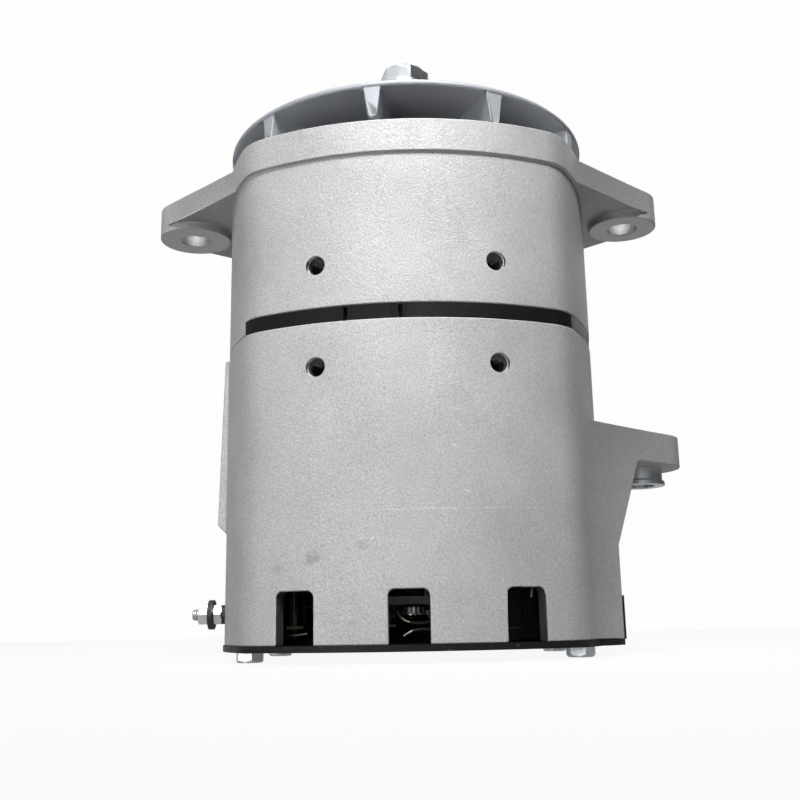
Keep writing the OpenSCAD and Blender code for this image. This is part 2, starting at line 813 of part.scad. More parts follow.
// Heat sinks: open rings round the shaft, one above the other under the bearing wall
module heat_sink(z, r_out, diode_at) {
  difference() {
    translate([0, 0, z]) sector(sink_in, r_out, sink_from, sink_to, sink_t);
    for (turn = diode_turns) at_turn(turn)
      translate([0, -diode_at, z - 1]) cylinder(r = diode_r + close, h = sink_t + 2);
    for (turn = post_turns) at_turn(turn)
      translate([0, -post_at, z - 1]) cylinder(r = 2 + play, h = sink_t + 2);
    for (turn = lead_turns) at_turn(turn)
      translate([0, -lead_at, z - 1]) cylinder(r = lead_r + 1.5, h = sink_t + 2);
  }
}

// The negative sink is notched round the output stud
module negative_heat_sink() {
  color("silver") difference() {
    heat_sink(z0 + sink_h - sink_t, sink_out, negative_at);
    at_turn(180) translate([-11, -sink_out - 5, z0 + sink_h - sink_t - 1])
      cube([22, sink_out - positive_out + 6, sink_t + 2]);
  }
}

// The positive sink carries a block for the output stud
module positive_heat_sink() {
  color("silver") difference() {
    union() {
      heat_sink(positive_z, positive_out, positive_at);
      at_turn(180) translate([-7, -block_out, positive_z])
        cube([14, block_out - positive_out + 6, sink_t]);
      at_turn(180) translate([-7, -block_out, positive_z])
        cube([14, 8, z0 + out_term_h + 7 - positive_z]);
    }
    for (turn = [post_turns[0]]) at_turn(turn)
      translate([0, -post_at, positive_z - 1]) cylinder(r = 2 + play, h = sink_t + 2);
    at_turn(180) radial_drill(out_stud_r + close, block_out - 20, block_out + 5, z0 + out_term_h);
  }
}

module diodes(z, r) {
  for (turn = diode_turns) at_turn(turn) translate([0, -r, 0]) {
    translate([0, 0, z - 3]) cylinder(r = diode_r, h = 8, $fn = 48);
    translate([0, 0, z - 5]) cylinder(r = 3, h = 3, $fn = 32);
    translate([0, 0, strap_z + strap_t]) cylinder(r = 0.9, h = z - 4 - strap_z - strap_t, $fn = 24);
  }
}

module negative_diodes() {
  color("slategray") diodes(z0 + sink_h - sink_t, negative_at);
}

module positive_diodes() {
  color("slategray") diodes(positive_z, positive_at);
}

module rectifier_insulators() {
  color("maroon") for (turn = post_turns) at_turn(turn) translate([0, -post_at, 0]) {
    translate([0, 0, positive_z + sink_t])
      ring(4.5, 2 + play, z0 + sink_h - 2 * sink_t - positive_z);
    translate([0, 0, positive_z - 1.2]) ring(4.5, 2 + play, 1.2);
  }
}

module rectifier_screws() {
  color("gainsboro") for (turn = post_turns) at_turn(turn)
    translate([0, -post_at, positive_z - 1.2 - 2.4]) {
      cylinder(r = 2, h = z0 + sink_h + 8 - positive_z + 3.6);
      cylinder(r = 3.8, h = 2.4);
    }
}

// Flat straps under the diodes, one for each phase
module phase_straps() {
  color("gainsboro") for (i = [0:2]) translate([0, 0, strap_z])
    sector(positive_at - 2.5, negative_at + 3, diode_turns[2 * i] - 4, diode_turns[2 * i + 1] + 4,
      strap_t);
}

module regulator_place() {
  at_turn(regulator_turn) children();
}

module brush_holder() {
  color("darkslategray") regulator_place() difference() {
    translate([-7, -46, ring_z[0] - 1]) cube([14, 46 - ring_r - 2.5, regulator_z - ring_z[0] + 1]);
    for (z = ring_z)
      translate([-brush_w / 2 - 0.1, -46 - 1, z + ring_h / 2 - brush_h / 2 - 0.1])
        cube([brush_w + 0.2, 60, brush_h + 0.2]);
  }
}

module brush(z) {
  color("dimgray") regulator_place() difference() {
    translate([-brush_w / 2, -ring_r - brush_l, z + ring_h / 2 - brush_h / 2])
      cube([brush_w, brush_l + 2, brush_h]);
    translate([0, 0, z - 1]) cylinder(r = ring_r + 0.06, h = ring_h + 2);
  }
}

module lower_brush() brush(ring_z[0]);

module upper_brush() brush(ring_z[1]);

module brush_caps() {
  color("gainsboro") regulator_place() for (z = ring_z)
    translate([-brush_w / 2, -46, z + ring_h / 2 - brush_h / 2]) cube([brush_w, 2, brush_h]);
}

module regulator() {
  color("darkslategray") regulator_place() difference() {
    union() {
      translate([-28, -62, regulator_z]) cube([56, 28, regulator_h]);
      for (side = [-1, 1], step = [1, 2])
        translate([side * (3 + 6 * step) - 1.5, -58, regulator_z - 5]) cube([3, 20, 6]);
    }
    for (side = [-1, 1]) translate([side * 23, -57, regulator_z - 1])
      cylinder(r = 2 + play, h = regulator_h + 2);
  }
}

module regulator_screws() {
  color("gainsboro") regulator_place() for (side = [-1, 1])
    translate([side * 23, -57, regulator_z - 2.4]) {
      cylinder(r = 2, h = regulator_h + 2.4 + 7);
      cylinder(r = 3.5, h = 2.4);
    }
}

// Output stud through the wall opposite the front of the photo
module output_stud() {
  color("gainsboro") at_turn(180) {
    radial_drill(out_stud_r, block_out - 10, body_half + out_stud_out, z0 + out_term_h);
    translate([0, -block_out + 8, z0 + out_term_h]) rotate([-90, 0, 0]) hexagon(12, 4);
  }
}

module output_insulator() {
  color("maroon") at_turn(180) difference() {
    union() {
      radial_drill(out_stud_r + 3, block_out, body_half + 1, z0 + out_term_h);
      radial_drill(12, body_half, body_half + 3, z0 + out_term_h);
    }
    radial_drill(out_stud_r + close, 40, 120, z0 + out_term_h);
  }
}

module output_nut() {
  color("gainsboro") at_turn(180)
    translate([0, -body_half - 3, z0 + out_term_h]) rotate([90, 0, 0]) difference() {
      union() {
        cylinder(r = 8, h = 1.6);
        translate([0, 0, 1.6]) chamfered_hex(13, 6.5);
      }
      translate([0, 0, -1]) cylinder(r = out_stud_r + close, h = 12);
    }
}

// Side terminal: places its children along -X from the wall's outer face
module side_place(out) {
  translate([-body_half - out, side_term_y, z0 + side_term_h]) rotate([0, -90, 0]) children();
}

module side_stud() {
  color("gainsboro") side_place(-14) {
    cylinder(r = side_stud_r, h = side_stud_out + 14);
    cylinder(r = 4.5, h = 3);
  }
}

module side_insulator() {
  color("black") difference() {
    union() {
      side_place(-10.7) cylinder(r = side_stud_r + 1.5, h = 10.7 + side_wall_out);
      side_place(-10.7) cylinder(r = 6.5, h = 3);
    }
    side_place(-20) cylinder(r = side_stud_r + close, h = 60);
  }
}

module side_nut(out, h) {
  color("gainsboro") side_place(out) difference() {
    chamfered_hex(8, h);
    translate([0, 0, -1]) cylinder(r = side_stud_r + close, h = h + 2);
  }
}

module side_inner_nut() side_nut(side_wall_out, 3.8);

module side_washer() {
  color("black") side_place(side_wall_out + 3.8) ring(6.2, side_stud_r + close, 2);
}

module side_outer_nut() side_nut(side_wall_out + 5.8, 4.4);

module hinge_bush() {
  color("gainsboro") translate([hinge_x, 0, lug_z - bush_out]) rotate_extrude()
    polygon([
      [bush_hole_r, 0], [bush_lip_r, 0], [bush_lip_r, 1.6], [bush_r, 2.4],
      [bush_r, bush_out + lug_t - 0.6], [bush_hole_r, bush_out + lug_t - 0.6]
    ]);
}

rear_housing();
front_housing();
rear_cover();
cover_bolts();
long_bolts();
stator_core();
stator_winding();
phase_leads();
front_bearing_outer();
front_bearing_inner();
front_bearing_balls();
front_bearing_cage();
rear_bearing_outer();
rear_bearing_inner();
rear_bearing_balls();
rear_bearing_cage();
bearing_retainer();
retainer_screws();
shaft();
rear_claw_pole();
front_claw_pole();
coil_former();
field_coil();
slip_ring_sleeve();
slip_rings();
fan_spacer();
fan();
shaft_key();
shaft_washer();
shaft_nut();
negative_heat_sink();
positive_heat_sink();
negative_diodes();
positive_diodes();
rectifier_insulators();
rectifier_screws();
phase_straps();
brush_holder();
upper_brush();
lower_brush();
brush_caps();
regulator();
regulator_screws();
output_stud();
output_insulator();
output_nut();
side_stud();
side_insulator();
side_inner_nut();
side_washer();
side_outer_nut();
hinge_bush();
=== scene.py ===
# %% [markdown]
# # Truck alternator, dressed around its CAD model
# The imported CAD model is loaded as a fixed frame: every housing, bolt and bearing already stands
# where it belongs, in metres. This script gives those nodes their finishes, rounds the edges of the
# castings, and makes the fine forms that a CAD solid leaves plain, such as threads, wound copper,
# lamination lines and flanged bolt heads. Loading comes first, because a new piece takes its place
# from the frame's boxes, and only what a box can't tell is written as a size.

# %% Load the frame
import math

import bmesh
import bpy
import numpy as np
from mathutils import Matrix, Vector


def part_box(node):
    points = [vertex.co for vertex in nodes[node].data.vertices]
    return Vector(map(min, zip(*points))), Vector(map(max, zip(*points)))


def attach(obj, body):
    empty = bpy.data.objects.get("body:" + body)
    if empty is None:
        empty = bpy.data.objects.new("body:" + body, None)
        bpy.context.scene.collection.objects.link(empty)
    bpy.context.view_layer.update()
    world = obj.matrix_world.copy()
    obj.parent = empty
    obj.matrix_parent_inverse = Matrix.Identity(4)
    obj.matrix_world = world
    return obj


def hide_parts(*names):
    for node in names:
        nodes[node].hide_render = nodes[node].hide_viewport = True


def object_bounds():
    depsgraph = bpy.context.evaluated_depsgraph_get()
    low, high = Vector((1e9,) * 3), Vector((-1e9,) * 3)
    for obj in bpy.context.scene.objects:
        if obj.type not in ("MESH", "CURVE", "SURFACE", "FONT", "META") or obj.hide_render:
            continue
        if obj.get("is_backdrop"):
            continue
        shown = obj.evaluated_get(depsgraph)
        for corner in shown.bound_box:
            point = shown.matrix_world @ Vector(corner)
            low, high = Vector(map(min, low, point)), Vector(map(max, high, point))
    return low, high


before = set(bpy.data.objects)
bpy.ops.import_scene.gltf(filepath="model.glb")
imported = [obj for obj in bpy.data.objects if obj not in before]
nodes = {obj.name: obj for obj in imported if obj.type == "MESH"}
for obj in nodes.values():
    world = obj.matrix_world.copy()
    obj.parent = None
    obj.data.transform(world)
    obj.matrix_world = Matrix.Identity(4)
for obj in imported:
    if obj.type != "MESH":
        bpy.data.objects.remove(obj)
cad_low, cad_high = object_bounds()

scene = bpy.context.scene
print("nodes:", len(nodes), "box (mm):", [round((h - l) * 1000, 1) for l, h in zip(cad_low, cad_high)])

# %% [markdown]
# ## Camera
# The photograph was taken from very low, a little above the rear cover, and looks up at the machine.
# A camera could be aimed with a constraint, but a fixed matrix is simpler to read: one axis points
# forward, one to the right and one up, and the small roll turns the last two about the first.

# %% Camera
PITCH, YAW, ROLL = (math.radians(a) for a in (12.51, -1.37, -1.06))
CAMERA_AT = (0.00586, -0.45232, 0.01424)
SENSOR_MM, LENS_MM = 36, 45.26
forward = Vector((math.sin(YAW) * math.cos(PITCH), math.cos(YAW) * math.cos(PITCH), math.sin(PITCH)))
right = Vector((math.cos(YAW), -math.sin(YAW), 0))
above = right.cross(forward)
cam_right = math.cos(ROLL) * right + math.sin(ROLL) * above
cam_up = -math.sin(ROLL) * right + math.cos(ROLL) * above
camera_data = bpy.data.cameras.new("camera")
camera_data.sensor_width = SENSOR_MM
camera_data.lens = LENS_MM
camera_data.clip_start = 0.01
camera = bpy.data.objects.new("camera", camera_data)
camera.matrix_world = Matrix.Translation(CAMERA_AT) @ Matrix(
    (cam_right, cam_up, -forward)).transposed().to_4x4()
scene.collection.objects.link(camera)
scene.camera = camera
print("camera looks up by", round(math.degrees(PITCH), 1), "degrees")

# %% [markdown]
# ## Meshes from numbers
# A turned or swept part is a surface with two parameters: how far along its profile, and how far
# round. Spin modifiers or primitives could make such shapes too, but a grid of points worked out by
# numpy gives exact control over each edge, and one small helper then joins the grid into faces.

# %% Grid and mesh helpers
def read(items, what, width=1, kind=float):
    """A property of all items as an array, with a row of width numbers for each item."""
    values = np.empty(len(items) * width, kind)
    items.foreach_get(what, values)
    return values.reshape(-1, width) if width > 1 else values


def shown(mesh, name, finish, crease):
    """An object for the mesh, smooth but for the edges above crease, with its finish."""
    mesh.polygons.foreach_set("use_smooth", np.ones(len(mesh.polygons), bool))
    mesh.set_sharp_from_angle(angle=crease)
    mesh.materials.append(finish)
    piece = bpy.data.objects.new(name, mesh)
    scene.collection.objects.link(piece)
    return piece


def at_place(at, *turns):
    """The matrix that moves to a point and then turns by each (angle, axis)."""
    place = Matrix.Translation(at)
    for angle, axis in turns:
        place = place @ Matrix.Rotation(angle, 4, axis)
    return place


def end_caps(rows, cols):
    """The two faces that close a grid of points at its first and its last row."""
    last = (rows - 1) * cols
    return [range(cols)[::-1], range(last, last + cols)]


def grid_faces(rows, cols, close_rows=False):
    """Quads of a grid that closes on itself along its columns: each point with its three next ones."""
    i = np.arange(rows if close_rows else rows - 1)[:, None]
    j = np.arange(cols)[None, :]
    below, beside = (i + 1) % rows, (j + 1) % cols
    corners = [i * cols + j, i * cols + beside, below * cols + beside, below * cols + j]
    return np.stack(np.broadcast_arrays(*corners), -1).reshape(-1, 4)


def put_mesh(name, parts, finish, crease=35):
    """One mesh object from (points, quads, caps) parts, with its finish. Edges above crease degrees stay
    sharp."""
    points, faces, start = [], [], 0
    for part_points, quads, caps in parts:
        points.append(part_points)
        faces += (quads + start).tolist()
        faces += [(np.asarray(cap) + start).tolist() for cap in caps]
        start += len(part_points)
    mesh = bpy.data.meshes.new(name)
    mesh.from_pydata(np.concatenate(points), [], faces)
    mesh.validate()
    tidy = bmesh.new()
    tidy.from_mesh(mesh)
    bmesh.ops.recalc_face_normals(tidy, faces=tidy.faces)
    tidy.to_mesh(mesh)
    tidy.free()
    print(f"{name}: {len(mesh.polygons)} faces")
    return shown(mesh, name, finish, math.radians(crease))


def rounded(profile, radius, steps=4):
    """Profile with each inner corner replaced by a short quadratic curve that starts radius before it."""
    p = np.asarray(profile, float)
    before, corner, after = p[:-2], p[1:-1], p[2:]
    back, on = before - corner, after - corner
    back_l = np.linalg.norm(back, axis=1, keepdims=True)
    on_l = np.linalg.norm(on, axis=1, keepdims=True)
    reach = np.minimum(radius, 0.45 * np.minimum(back_l, on_l))
    a, c = corner + back / back_l * reach, corner + on / on_l * reach
    t = np.linspace(0, 1, steps + 1)[None, :, None]
    curve = (1 - t) ** 2 * a[:, None] + 2 * t * (1 - t) * corner[:, None] + t ** 2 * c[:, None]
    return np.concatenate([p[:1], curve.reshape(-1, 2), p[-1:]])


def turned(profile, place=Matrix.Identity(4), points=72, flats=None, grow=None):
    """Surface of revolution: (r cos a, r sin a, z) for each profile row (r, z) and each angle a.
    flats = (width across flats, first z, last z) also keeps r under the hexagon between those heights,
    half the width over cos of the angle folded into one sixth turn. grow(a, r, z) may add to r."""
    rows = np.asarray(profile, float)
    a = np.arange(points) * 2 * np.pi / points
    r = np.repeat(rows[:, :1], points, 1)
    z = np.repeat(rows[:, 1:], points, 1)
    if flats:
        across, low, high = flats
        edge = across / 2 / np.cos((a + np.pi / 6) % (np.pi / 3) - np.pi / 6)
        r = np.where((z >= low) & (z <= high), np.minimum(r, edge), r)
    if grow:
        r = r + grow(a[None, :], r, z)
    at = np.stack([r * np.cos(a), r * np.sin(a), z], -1).reshape(-1, 3)
    m = np.array(place)
    return at @ m[:3, :3].T + m[:3, 3], grid_faces(len(rows), points), end_caps(len(rows), points)


def block(low, high):
    """The eight corners and six faces of a box."""
    corners = [(x, y, z) for z in (low[2], high[2]) for x, y in
               ((low[0], low[1]), (high[0], low[1]), (high[0], high[1]), (low[0], high[1]))]
    return np.array(corners), grid_faces(2, 4), [[3, 2, 1, 0], [4, 5, 6, 7]]


def node_box(name):
    """Lowest and highest corner of a CAD node as numpy arrays, in metres."""
    low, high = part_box(name)
    return np.array(low), np.array(high)


MM = 0.001

# %% [markdown]
# ## Shader groups
# Several metals here share the same small effects: the skin of a casting, the rings that a lathe
# tool leaves, and the marks of handling. Each effect is one node group with named inputs, built
# once and placed in every material with its own values, so a change is made in one place.

# %% Node helpers
def feed(tree, node, inputs):
    """Links each input that is given as a socket, and sets each other one to its value."""
    for key, value in inputs.items():
        if isinstance(value, bpy.types.NodeSocket):
            tree.links.new(value, node.inputs[key])
        else:
            node.inputs[key].default_value = value


def add_node(tree, kind, inputs=None, **settings):
    """A new shader node of that kind, with its settings and inputs."""
    made = tree.nodes.new("ShaderNode" + kind)
    for key, value in settings.items():
        setattr(made, key, value)
    feed(tree, made, inputs or {})
    return made


def math_node(tree, operation, *values, clamp=False):
    return add_node(tree, "Math", dict(enumerate(values)), operation=operation, use_clamp=clamp).outputs[0]


def times(tree, one, other):
    return math_node(tree, "MULTIPLY", one, other)


def plus(tree, one, other):
    return math_node(tree, "ADD", one, other)


def spread(tree, value, low, high, to_low=0.0, to_high=1.0):
    """The value's stretch from low to high, laid onto to_low to to_high and held there."""
    inputs = {"Value": value, "From Min": low, "From Max": high, "To Min": to_low, "To Max": to_high}
    return add_node(tree, "MapRange", inputs).outputs[0]


def noise(tree, point, scale, detail=3.0, roughness=0.55):
    inputs = {"Vector": point, "Scale": scale, "Detail": detail, "Roughness": roughness}
    return add_node(tree, "TexNoise", inputs).outputs[0]


def group(name, outputs, vectors=(), **numbers):
    """An empty shader group with a Point, other vectors and numbers going in, and its end sockets."""
    tree = bpy.data.node_groups.new(name, "ShaderNodeTree")
    for label in ("Point", *vectors):
        tree.interface.new_socket(label, in_out="INPUT", socket_type="NodeSocketVector")
    for label, value in numbers.items():
        tree.interface.new_socket(label, in_out="INPUT", socket_type="NodeSocketFloat").default_value = value
    for label in outputs:
        tree.interface.new_socket(label, in_out="OUTPUT", socket_type="NodeSocketFloat")
    return tree, tree.nodes.new("NodeGroupInput").outputs, tree.nodes.new("NodeGroupOutput").inputs


# %% [markdown]
# ### Casting skin
# Aluminium that has been cast in a coated mould and blasted with shot has a matt, finely pitted
# skin: grains of well under a millimetre, a few larger dimples, and soft clouds where the blast
# was stronger. Three sizes of noise, added up, give both the height and the tone.

# %% Group: casting skin
skin, g_in, g_out = group("casting_skin", ["Height", "Tone"], Grain=1500.0)
fine = noise(skin, g_in["Point"], g_in["Grain"], 2.0, 0.6)
medium = noise(skin, g_in["Point"], times(skin, g_in["Grain"], 0.3), 2.0)
cells = add_node(skin, "TexVoronoi", {
    "Vector": g_in["Point"], "Scale": times(skin, g_in["Grain"], 0.45)})
pits = spread(skin, cells.outputs["Distance"], 0.05, 0.35)
clouds = noise(skin, g_in["Point"], 28.0, 4.0, 0.6)
height = plus(skin, times(skin, fine, 0.8), times(skin, medium, 0.3))
height = plus(skin, height, times(skin, pits, 0.12))
skin.links.new(height, g_out["Height"])
tone = plus(skin, times(skin, clouds, 0.35), times(skin, fine, 0.65))
skin.links.new(spread(skin, tone, 0.3, 0.7), g_out["Tone"])

# %% [markdown]
# ### Tool marks
# A lathe or face mill leaves fine rings about the axis it turns on. A sine of the distance from
# the axis gives even rings, and noise breaks them so that they don't look drawn.

# %% Group: tool marks
marks, g_in, g_out = group("tool_marks", ["Height"], Rings=12000.0)
x, y, _ = add_node(marks, "SeparateXYZ", {0: g_in["Point"]}).outputs
from_axis = math_node(marks, "SQRT", plus(marks, times(marks, x, x), times(marks, y, y)))
wave = math_node(marks, "SINE", times(marks, from_axis, g_in["Rings"]))
broken = times(marks, wave, noise(marks, g_in["Point"], 300.0))
marks.links.new(plus(marks, times(marks, broken, 0.5), 0.5), g_out["Height"])

# %% [markdown]
# ### Handling marks
# Plated and painted parts pick up thin scratches and greasy patches. Noise that is squeezed along
# one axis and cut at a high level gives short scratches, and plain low noise gives the patches.

# %% Group: handling marks
wear, g_in, g_out = group("handling_marks", ["Scratches", "Patches"], Size=60.0)
turned_point = add_node(wear, "Mapping", {
    "Vector": g_in["Point"], "Rotation": (0.3, 0.5, 0.8), "Scale": (1.0, 14.0, 5.0)}).outputs[0]
lines = noise(wear, turned_point, g_in["Size"], 3.0, 0.7)
wear.links.new(spread(wear, lines, 0.66, 0.72), g_out["Scratches"])
wear.links.new(spread(wear, noise(wear, g_in["Point"], g_in["Size"], 4.0), 0.4, 0.65), g_out["Patches"])

# %% [markdown]
# ### Level band
# Some faces of a casting are milled flat at one height. This group is 1 where the surface lies
# within a small distance of that height and also faces straight up or down, and 0 elsewhere, so a
# material can change its finish there and the upright walls beside the face stay as cast.

# %% Group: level band
band, g_in, g_out = group("level_band", ["Mask"], ["Facing"], Level=0.1, Half=0.0003)
level_z = add_node(band, "SeparateXYZ", {0: g_in["Point"]}).outputs[2]
away = math_node(band, "ABSOLUTE", math_node(band, "SUBTRACT", level_z, g_in["Level"]))
near = math_node(band, "LESS_THAN", away, g_in["Half"])
facing_z = add_node(band, "SeparateXYZ", {0: g_in["Facing"]}).outputs[2]
level_face = math_node(band, "GREATER_THAN", math_node(band, "ABSOLUTE", facing_z), 0.96)
band.links.new(times(band, near, level_face), g_out["Mask"])

# %% [markdown]
# ### Dabs
# A used casting has small things that happened at one place: a greasy stain, a few bright nicks, a
# faint line where two parts of the mould met. Each is the same soft spot, moved to its place, turned
# and stretched: 1 where the stretched distance from its centre is small, falling to 0 at its edge.

# %% Group: dab
dab, g_in, g_out = group("dab", ["Mask"], ["Place", "Size"], Turn=0.0)
moved = add_node(dab, "VectorMath", {0: g_in["Point"], 1: g_in["Place"]}, operation="SUBTRACT")
swung = add_node(dab, "VectorRotate", {"Vector": moved.outputs[0], "Angle": g_in["Turn"]},
                 rotation_type="Y_AXIS")
scaled = add_node(dab, "VectorMath", {0: swung.outputs[0], 1: g_in["Size"]}, operation="DIVIDE")
reach = add_node(dab, "VectorMath", {0: scaled.outputs[0]}, operation="LENGTH")
ragged = spread(dab, noise(dab, g_in["Point"], 420.0, 3.0), 0.35, 0.5)
spot = spread(dab, reach.outputs["Value"], 0.45, 1.0, 1.0, 0.0)
dab.links.new(times(dab, spot, ragged), g_out["Mask"])


def placed(tree, which, **values):
    """That group, placed in a material with its own values; returns its outputs."""
    return add_node(tree, "Group", values, node_tree=which).outputs


def new_material(name, metallic, roughness, colour=None, **sockets):
    """A material with a Principled shader, and the point in object coordinates that its patterns use."""
    made = bpy.data.materials.new(name)
    made.use_nodes = True
    tree = made.node_tree
    shader = tree.nodes["Principled BSDF"]
    feed(tree, shader, {"Metallic": metallic, "Roughness": roughness})
    if colour:
        feed(tree, shader, {"Base Color": (*colour, 1)})
    feed(tree, shader, {key.replace("_", " "): value for key, value in sockets.items()})
    point = tree.nodes.new("ShaderNodeTexCoord").outputs["Object"]
    return made, tree, shader, point


def bump(tree, shader, height, distance, strength=1.0):
    made = add_node(tree, "Bump", {"Height": height, "Distance": distance, "Strength": strength})
    feed(tree, shader, {"Normal": made.outputs[0]})


def blend_colour(tree, mask, one, other):
    """A colour that goes from one to the other as the mask goes from 0 to 1."""
    one, other = ((*tone, 1) if isinstance(tone, tuple) else tone for tone in (one, other))
    return add_node(tree, "Mix", {0: mask, 6: one, 7: other}, data_type="RGBA").outputs[2]


print("groups:", [g.name for g in bpy.data.node_groups])

# %% [markdown]
# ## Cast aluminium
# The housings and the fan are shot-blasted castings: matt light grey with a fine sparkle. The fan's
# grey is darker and bluer, painted shade for the bluish shadow under its disc. Milled faces, where
# the hinge feet and the joints are, are smoother and brighter. The material reads its own height to
# find them, which needs no extra faces.

# %% Material: cast aluminium
GREASE, NICK, DUST, MILLED = (0.16, 0.15, 0.13), (0.95, 0.95, 0.95), (0.36, 0.34, 0.31), (0.6, 0.6, 0.605)


def cast_aluminium(name, grain, depth, dark, light, milled=(), dabs=()):
    """Blasted metal between a dark and a light tone, dusty in patches. Each dab is laid over it, and the
    faces at a milled level get that colour, a smoother finish and tool rings instead."""
    made, tree, shader, point = new_material(name, 0.45, 0.6)
    texture = placed(tree, skin, Point=point, Grain=grain)
    colour = blend_colour(tree, texture["Tone"], dark, light)
    stain = placed(tree, wear, Point=point, Size=22.0)
    colour = blend_colour(tree, times(tree, stain["Patches"], 0.12), colour, DUST)
    rough = spread(tree, texture["Tone"], 0, 1, 0.66, 0.56)
    height = texture["Height"]
    for place, turn, size, shade, share in dabs:
        mask = placed(tree, dab, Point=point, Place=place, Turn=turn, Size=size)["Mask"]
        colour = blend_colour(tree, times(tree, mask, share), colour, shade)
    for level in milled:
        facing = point.node.outputs["Normal"]
        mask = placed(tree, band, Point=point, Facing=facing, Level=level)["Mask"]
        rings = placed(tree, marks, Point=point, Rings=9000.0)["Height"]
        colour = blend_colour(tree, mask, colour, MILLED)
        rough = spread(tree, mask, 0, 1, rough, 0.36)
        height = spread(tree, mask, 0, 1, height, times(tree, rings, 0.1))
    feed(tree, shader, {"Base Color": colour, "Roughness": rough})
    bump(tree, shader, height, depth)
    return made


FOOT_DROP, FOOT_GAP = 17.4 * MM, 101.6 * MM
rear_low, rear_high = node_box("rear_housing")
front_top = node_box("front_housing")[1][2]
foot_level = front_top - FOOT_DROP
lug_level = foot_level - FOOT_GAP
# Each dab has its place, its turn about Y, its half sizes, its shade and its strength. First come three
# stains of grease, then the line where the mould closed, a mark where metal flowed, and five nicks.
HOUSING_DABS = [((-0.0372, -0.077, 0.0384), 0.3, (0.0045, 0.02, 0.0032), GREASE, 0.38),
                ((-0.0180, -0.080, 0.0425), -0.5, (0.0032, 0.02, 0.0020), GREASE, 0.22),
                ((-0.0500, -0.073, 0.0350), 0.0, (0.0030, 0.02, 0.0026), GREASE, 0.20),
                ((0.0145, -0.080, 0.0555), 0.01, (0.0480, 0.03, 0.0005), NICK, 0.16),
                ((-0.0295, -0.076, 0.1710), 0.15, (0.0006, 0.02, 0.0080), GREASE, 0.16),
                ((-0.0138, -0.081, 0.0453), 0.8, (0.0017, 0.02, 0.0003), NICK, 0.75),
                ((0.0210, -0.080, 0.0620), -0.7, (0.0014, 0.02, 0.0003), NICK, 0.70),
                ((0.0170, -0.080, 0.0790), 0.1, (0.0014, 0.02, 0.0003), NICK, 0.65),
                ((0.0190, -0.080, 0.0870), -0.5, (0.0018, 0.02, 0.0003), NICK, 0.60),
                ((0.0480, -0.071, 0.1120), -1.1, (0.0014, 0.02, 0.0003), NICK, 0.55)]
housing_metal = cast_aluminium("cast_aluminium", 1300.0, 0.0002, (0.37, 0.375, 0.38), (0.63, 0.635, 0.64),
                               milled=(foot_level, lug_level, rear_low[2]), dabs=HOUSING_DABS)
# A near-black copy of the casting finish: painted shade for the faces inside the walls and windows
shade_painted_inside = cast_aluminium("cast_inside_painted_shade", 1500.0, 0.00016, (0.035, 0.035, 0.037), (0.06, 0.06, 0.062))
# The fan's own grey with a blue tint of painted shade, for the shadow under its disc
fan_metal_blue_shade = cast_aluminium("cast_fan_aluminium_blue_shade", 1900.0, 0.00012, (0.40, 0.42, 0.46), (0.52, 0.54, 0.58))
sink_metal = cast_aluminium("pressed_aluminium", 2600.0, 0.00005, (0.5, 0.5, 0.51), (0.62, 0.62, 0.63))
print("milled levels (mm):", round(foot_level / MM, 1), round(lug_level / MM, 1))

# %% [markdown]
# ## Plated, painted and moulded finishes
# The bolts, nuts and studs are zinc plated: a bluish silver whose roughness changes in patches.
# The shaft and bearings are bare ground steel. The stator core and the cover are black, one under
# brushed varnish and the other powder coated. Each finish is one function call with its own values.

# %% Materials: metals
def plated(name, colour, tint, roughness, depth, rings=0.0):
    """Bare or plated metal that changes its tint and roughness in patches, with scratches or tool rings."""
    made, tree, shader, point = new_material(name, 1.0, roughness)
    marked = placed(tree, wear, Point=point, Size=90.0)
    base = blend_colour(tree, marked["Patches"], colour, tint)
    rough = spread(tree, marked["Patches"], 0, 1, roughness, roughness + 0.14)
    feed(tree, shader, {"Base Color": base, "Roughness": rough})
    height = placed(tree, marks, Point=point, Rings=rings)["Height"] if rings else marked["Scratches"]
    bump(tree, shader, height, depth)
    return made


zinc = plated("zinc_plate", (0.74, 0.77, 0.80), (0.62, 0.66, 0.69), 0.26, 0.00002)
steel = plated("ground_steel", (0.62, 0.61, 0.60), (0.50, 0.49, 0.48), 0.22, 0.00001, 14000.0)
dark_steel = plated("dark_steel", (0.16, 0.16, 0.165), (0.10, 0.10, 0.105), 0.38, 0.00003)
grey_corner_sheets = plated("grey_corner_sheets", (0.30, 0.30, 0.31), (0.22, 0.22, 0.23), 0.42, 0.00002)
bored = plated("bored_aluminium", (0.5, 0.5, 0.5), (0.42, 0.42, 0.42), 0.5, 0.00001)
brass = plated("tinned_brass", (0.78, 0.72, 0.60), (0.62, 0.52, 0.36), 0.28, 0.00002)
ring_copper = plated("ring_copper", (0.78, 0.42, 0.25), (0.62, 0.30, 0.17), 0.25, 0.00001, 9000.0)

# %% Materials: paints and plastics
def coated(name, colour, worn, roughness, depth, grain, shine=0.5):
    """Paint or plastic with a fine grain, of the worn colour where it is scratched."""
    made, tree, shader, point = new_material(name, 0.0, roughness, Specular_IOR_Level=shine)
    texture = placed(tree, skin, Point=point, Grain=grain)
    marked = placed(tree, wear, Point=point, Size=70.0)
    base = blend_colour(tree, marked["Scratches"], colour, worn)
    rough = spread(tree, marked["Patches"], 0, 1, roughness, roughness + 0.15)
    feed(tree, shader, {"Base Color": base, "Roughness": rough})
    bump(tree, shader, texture["Height"], depth)
    return made


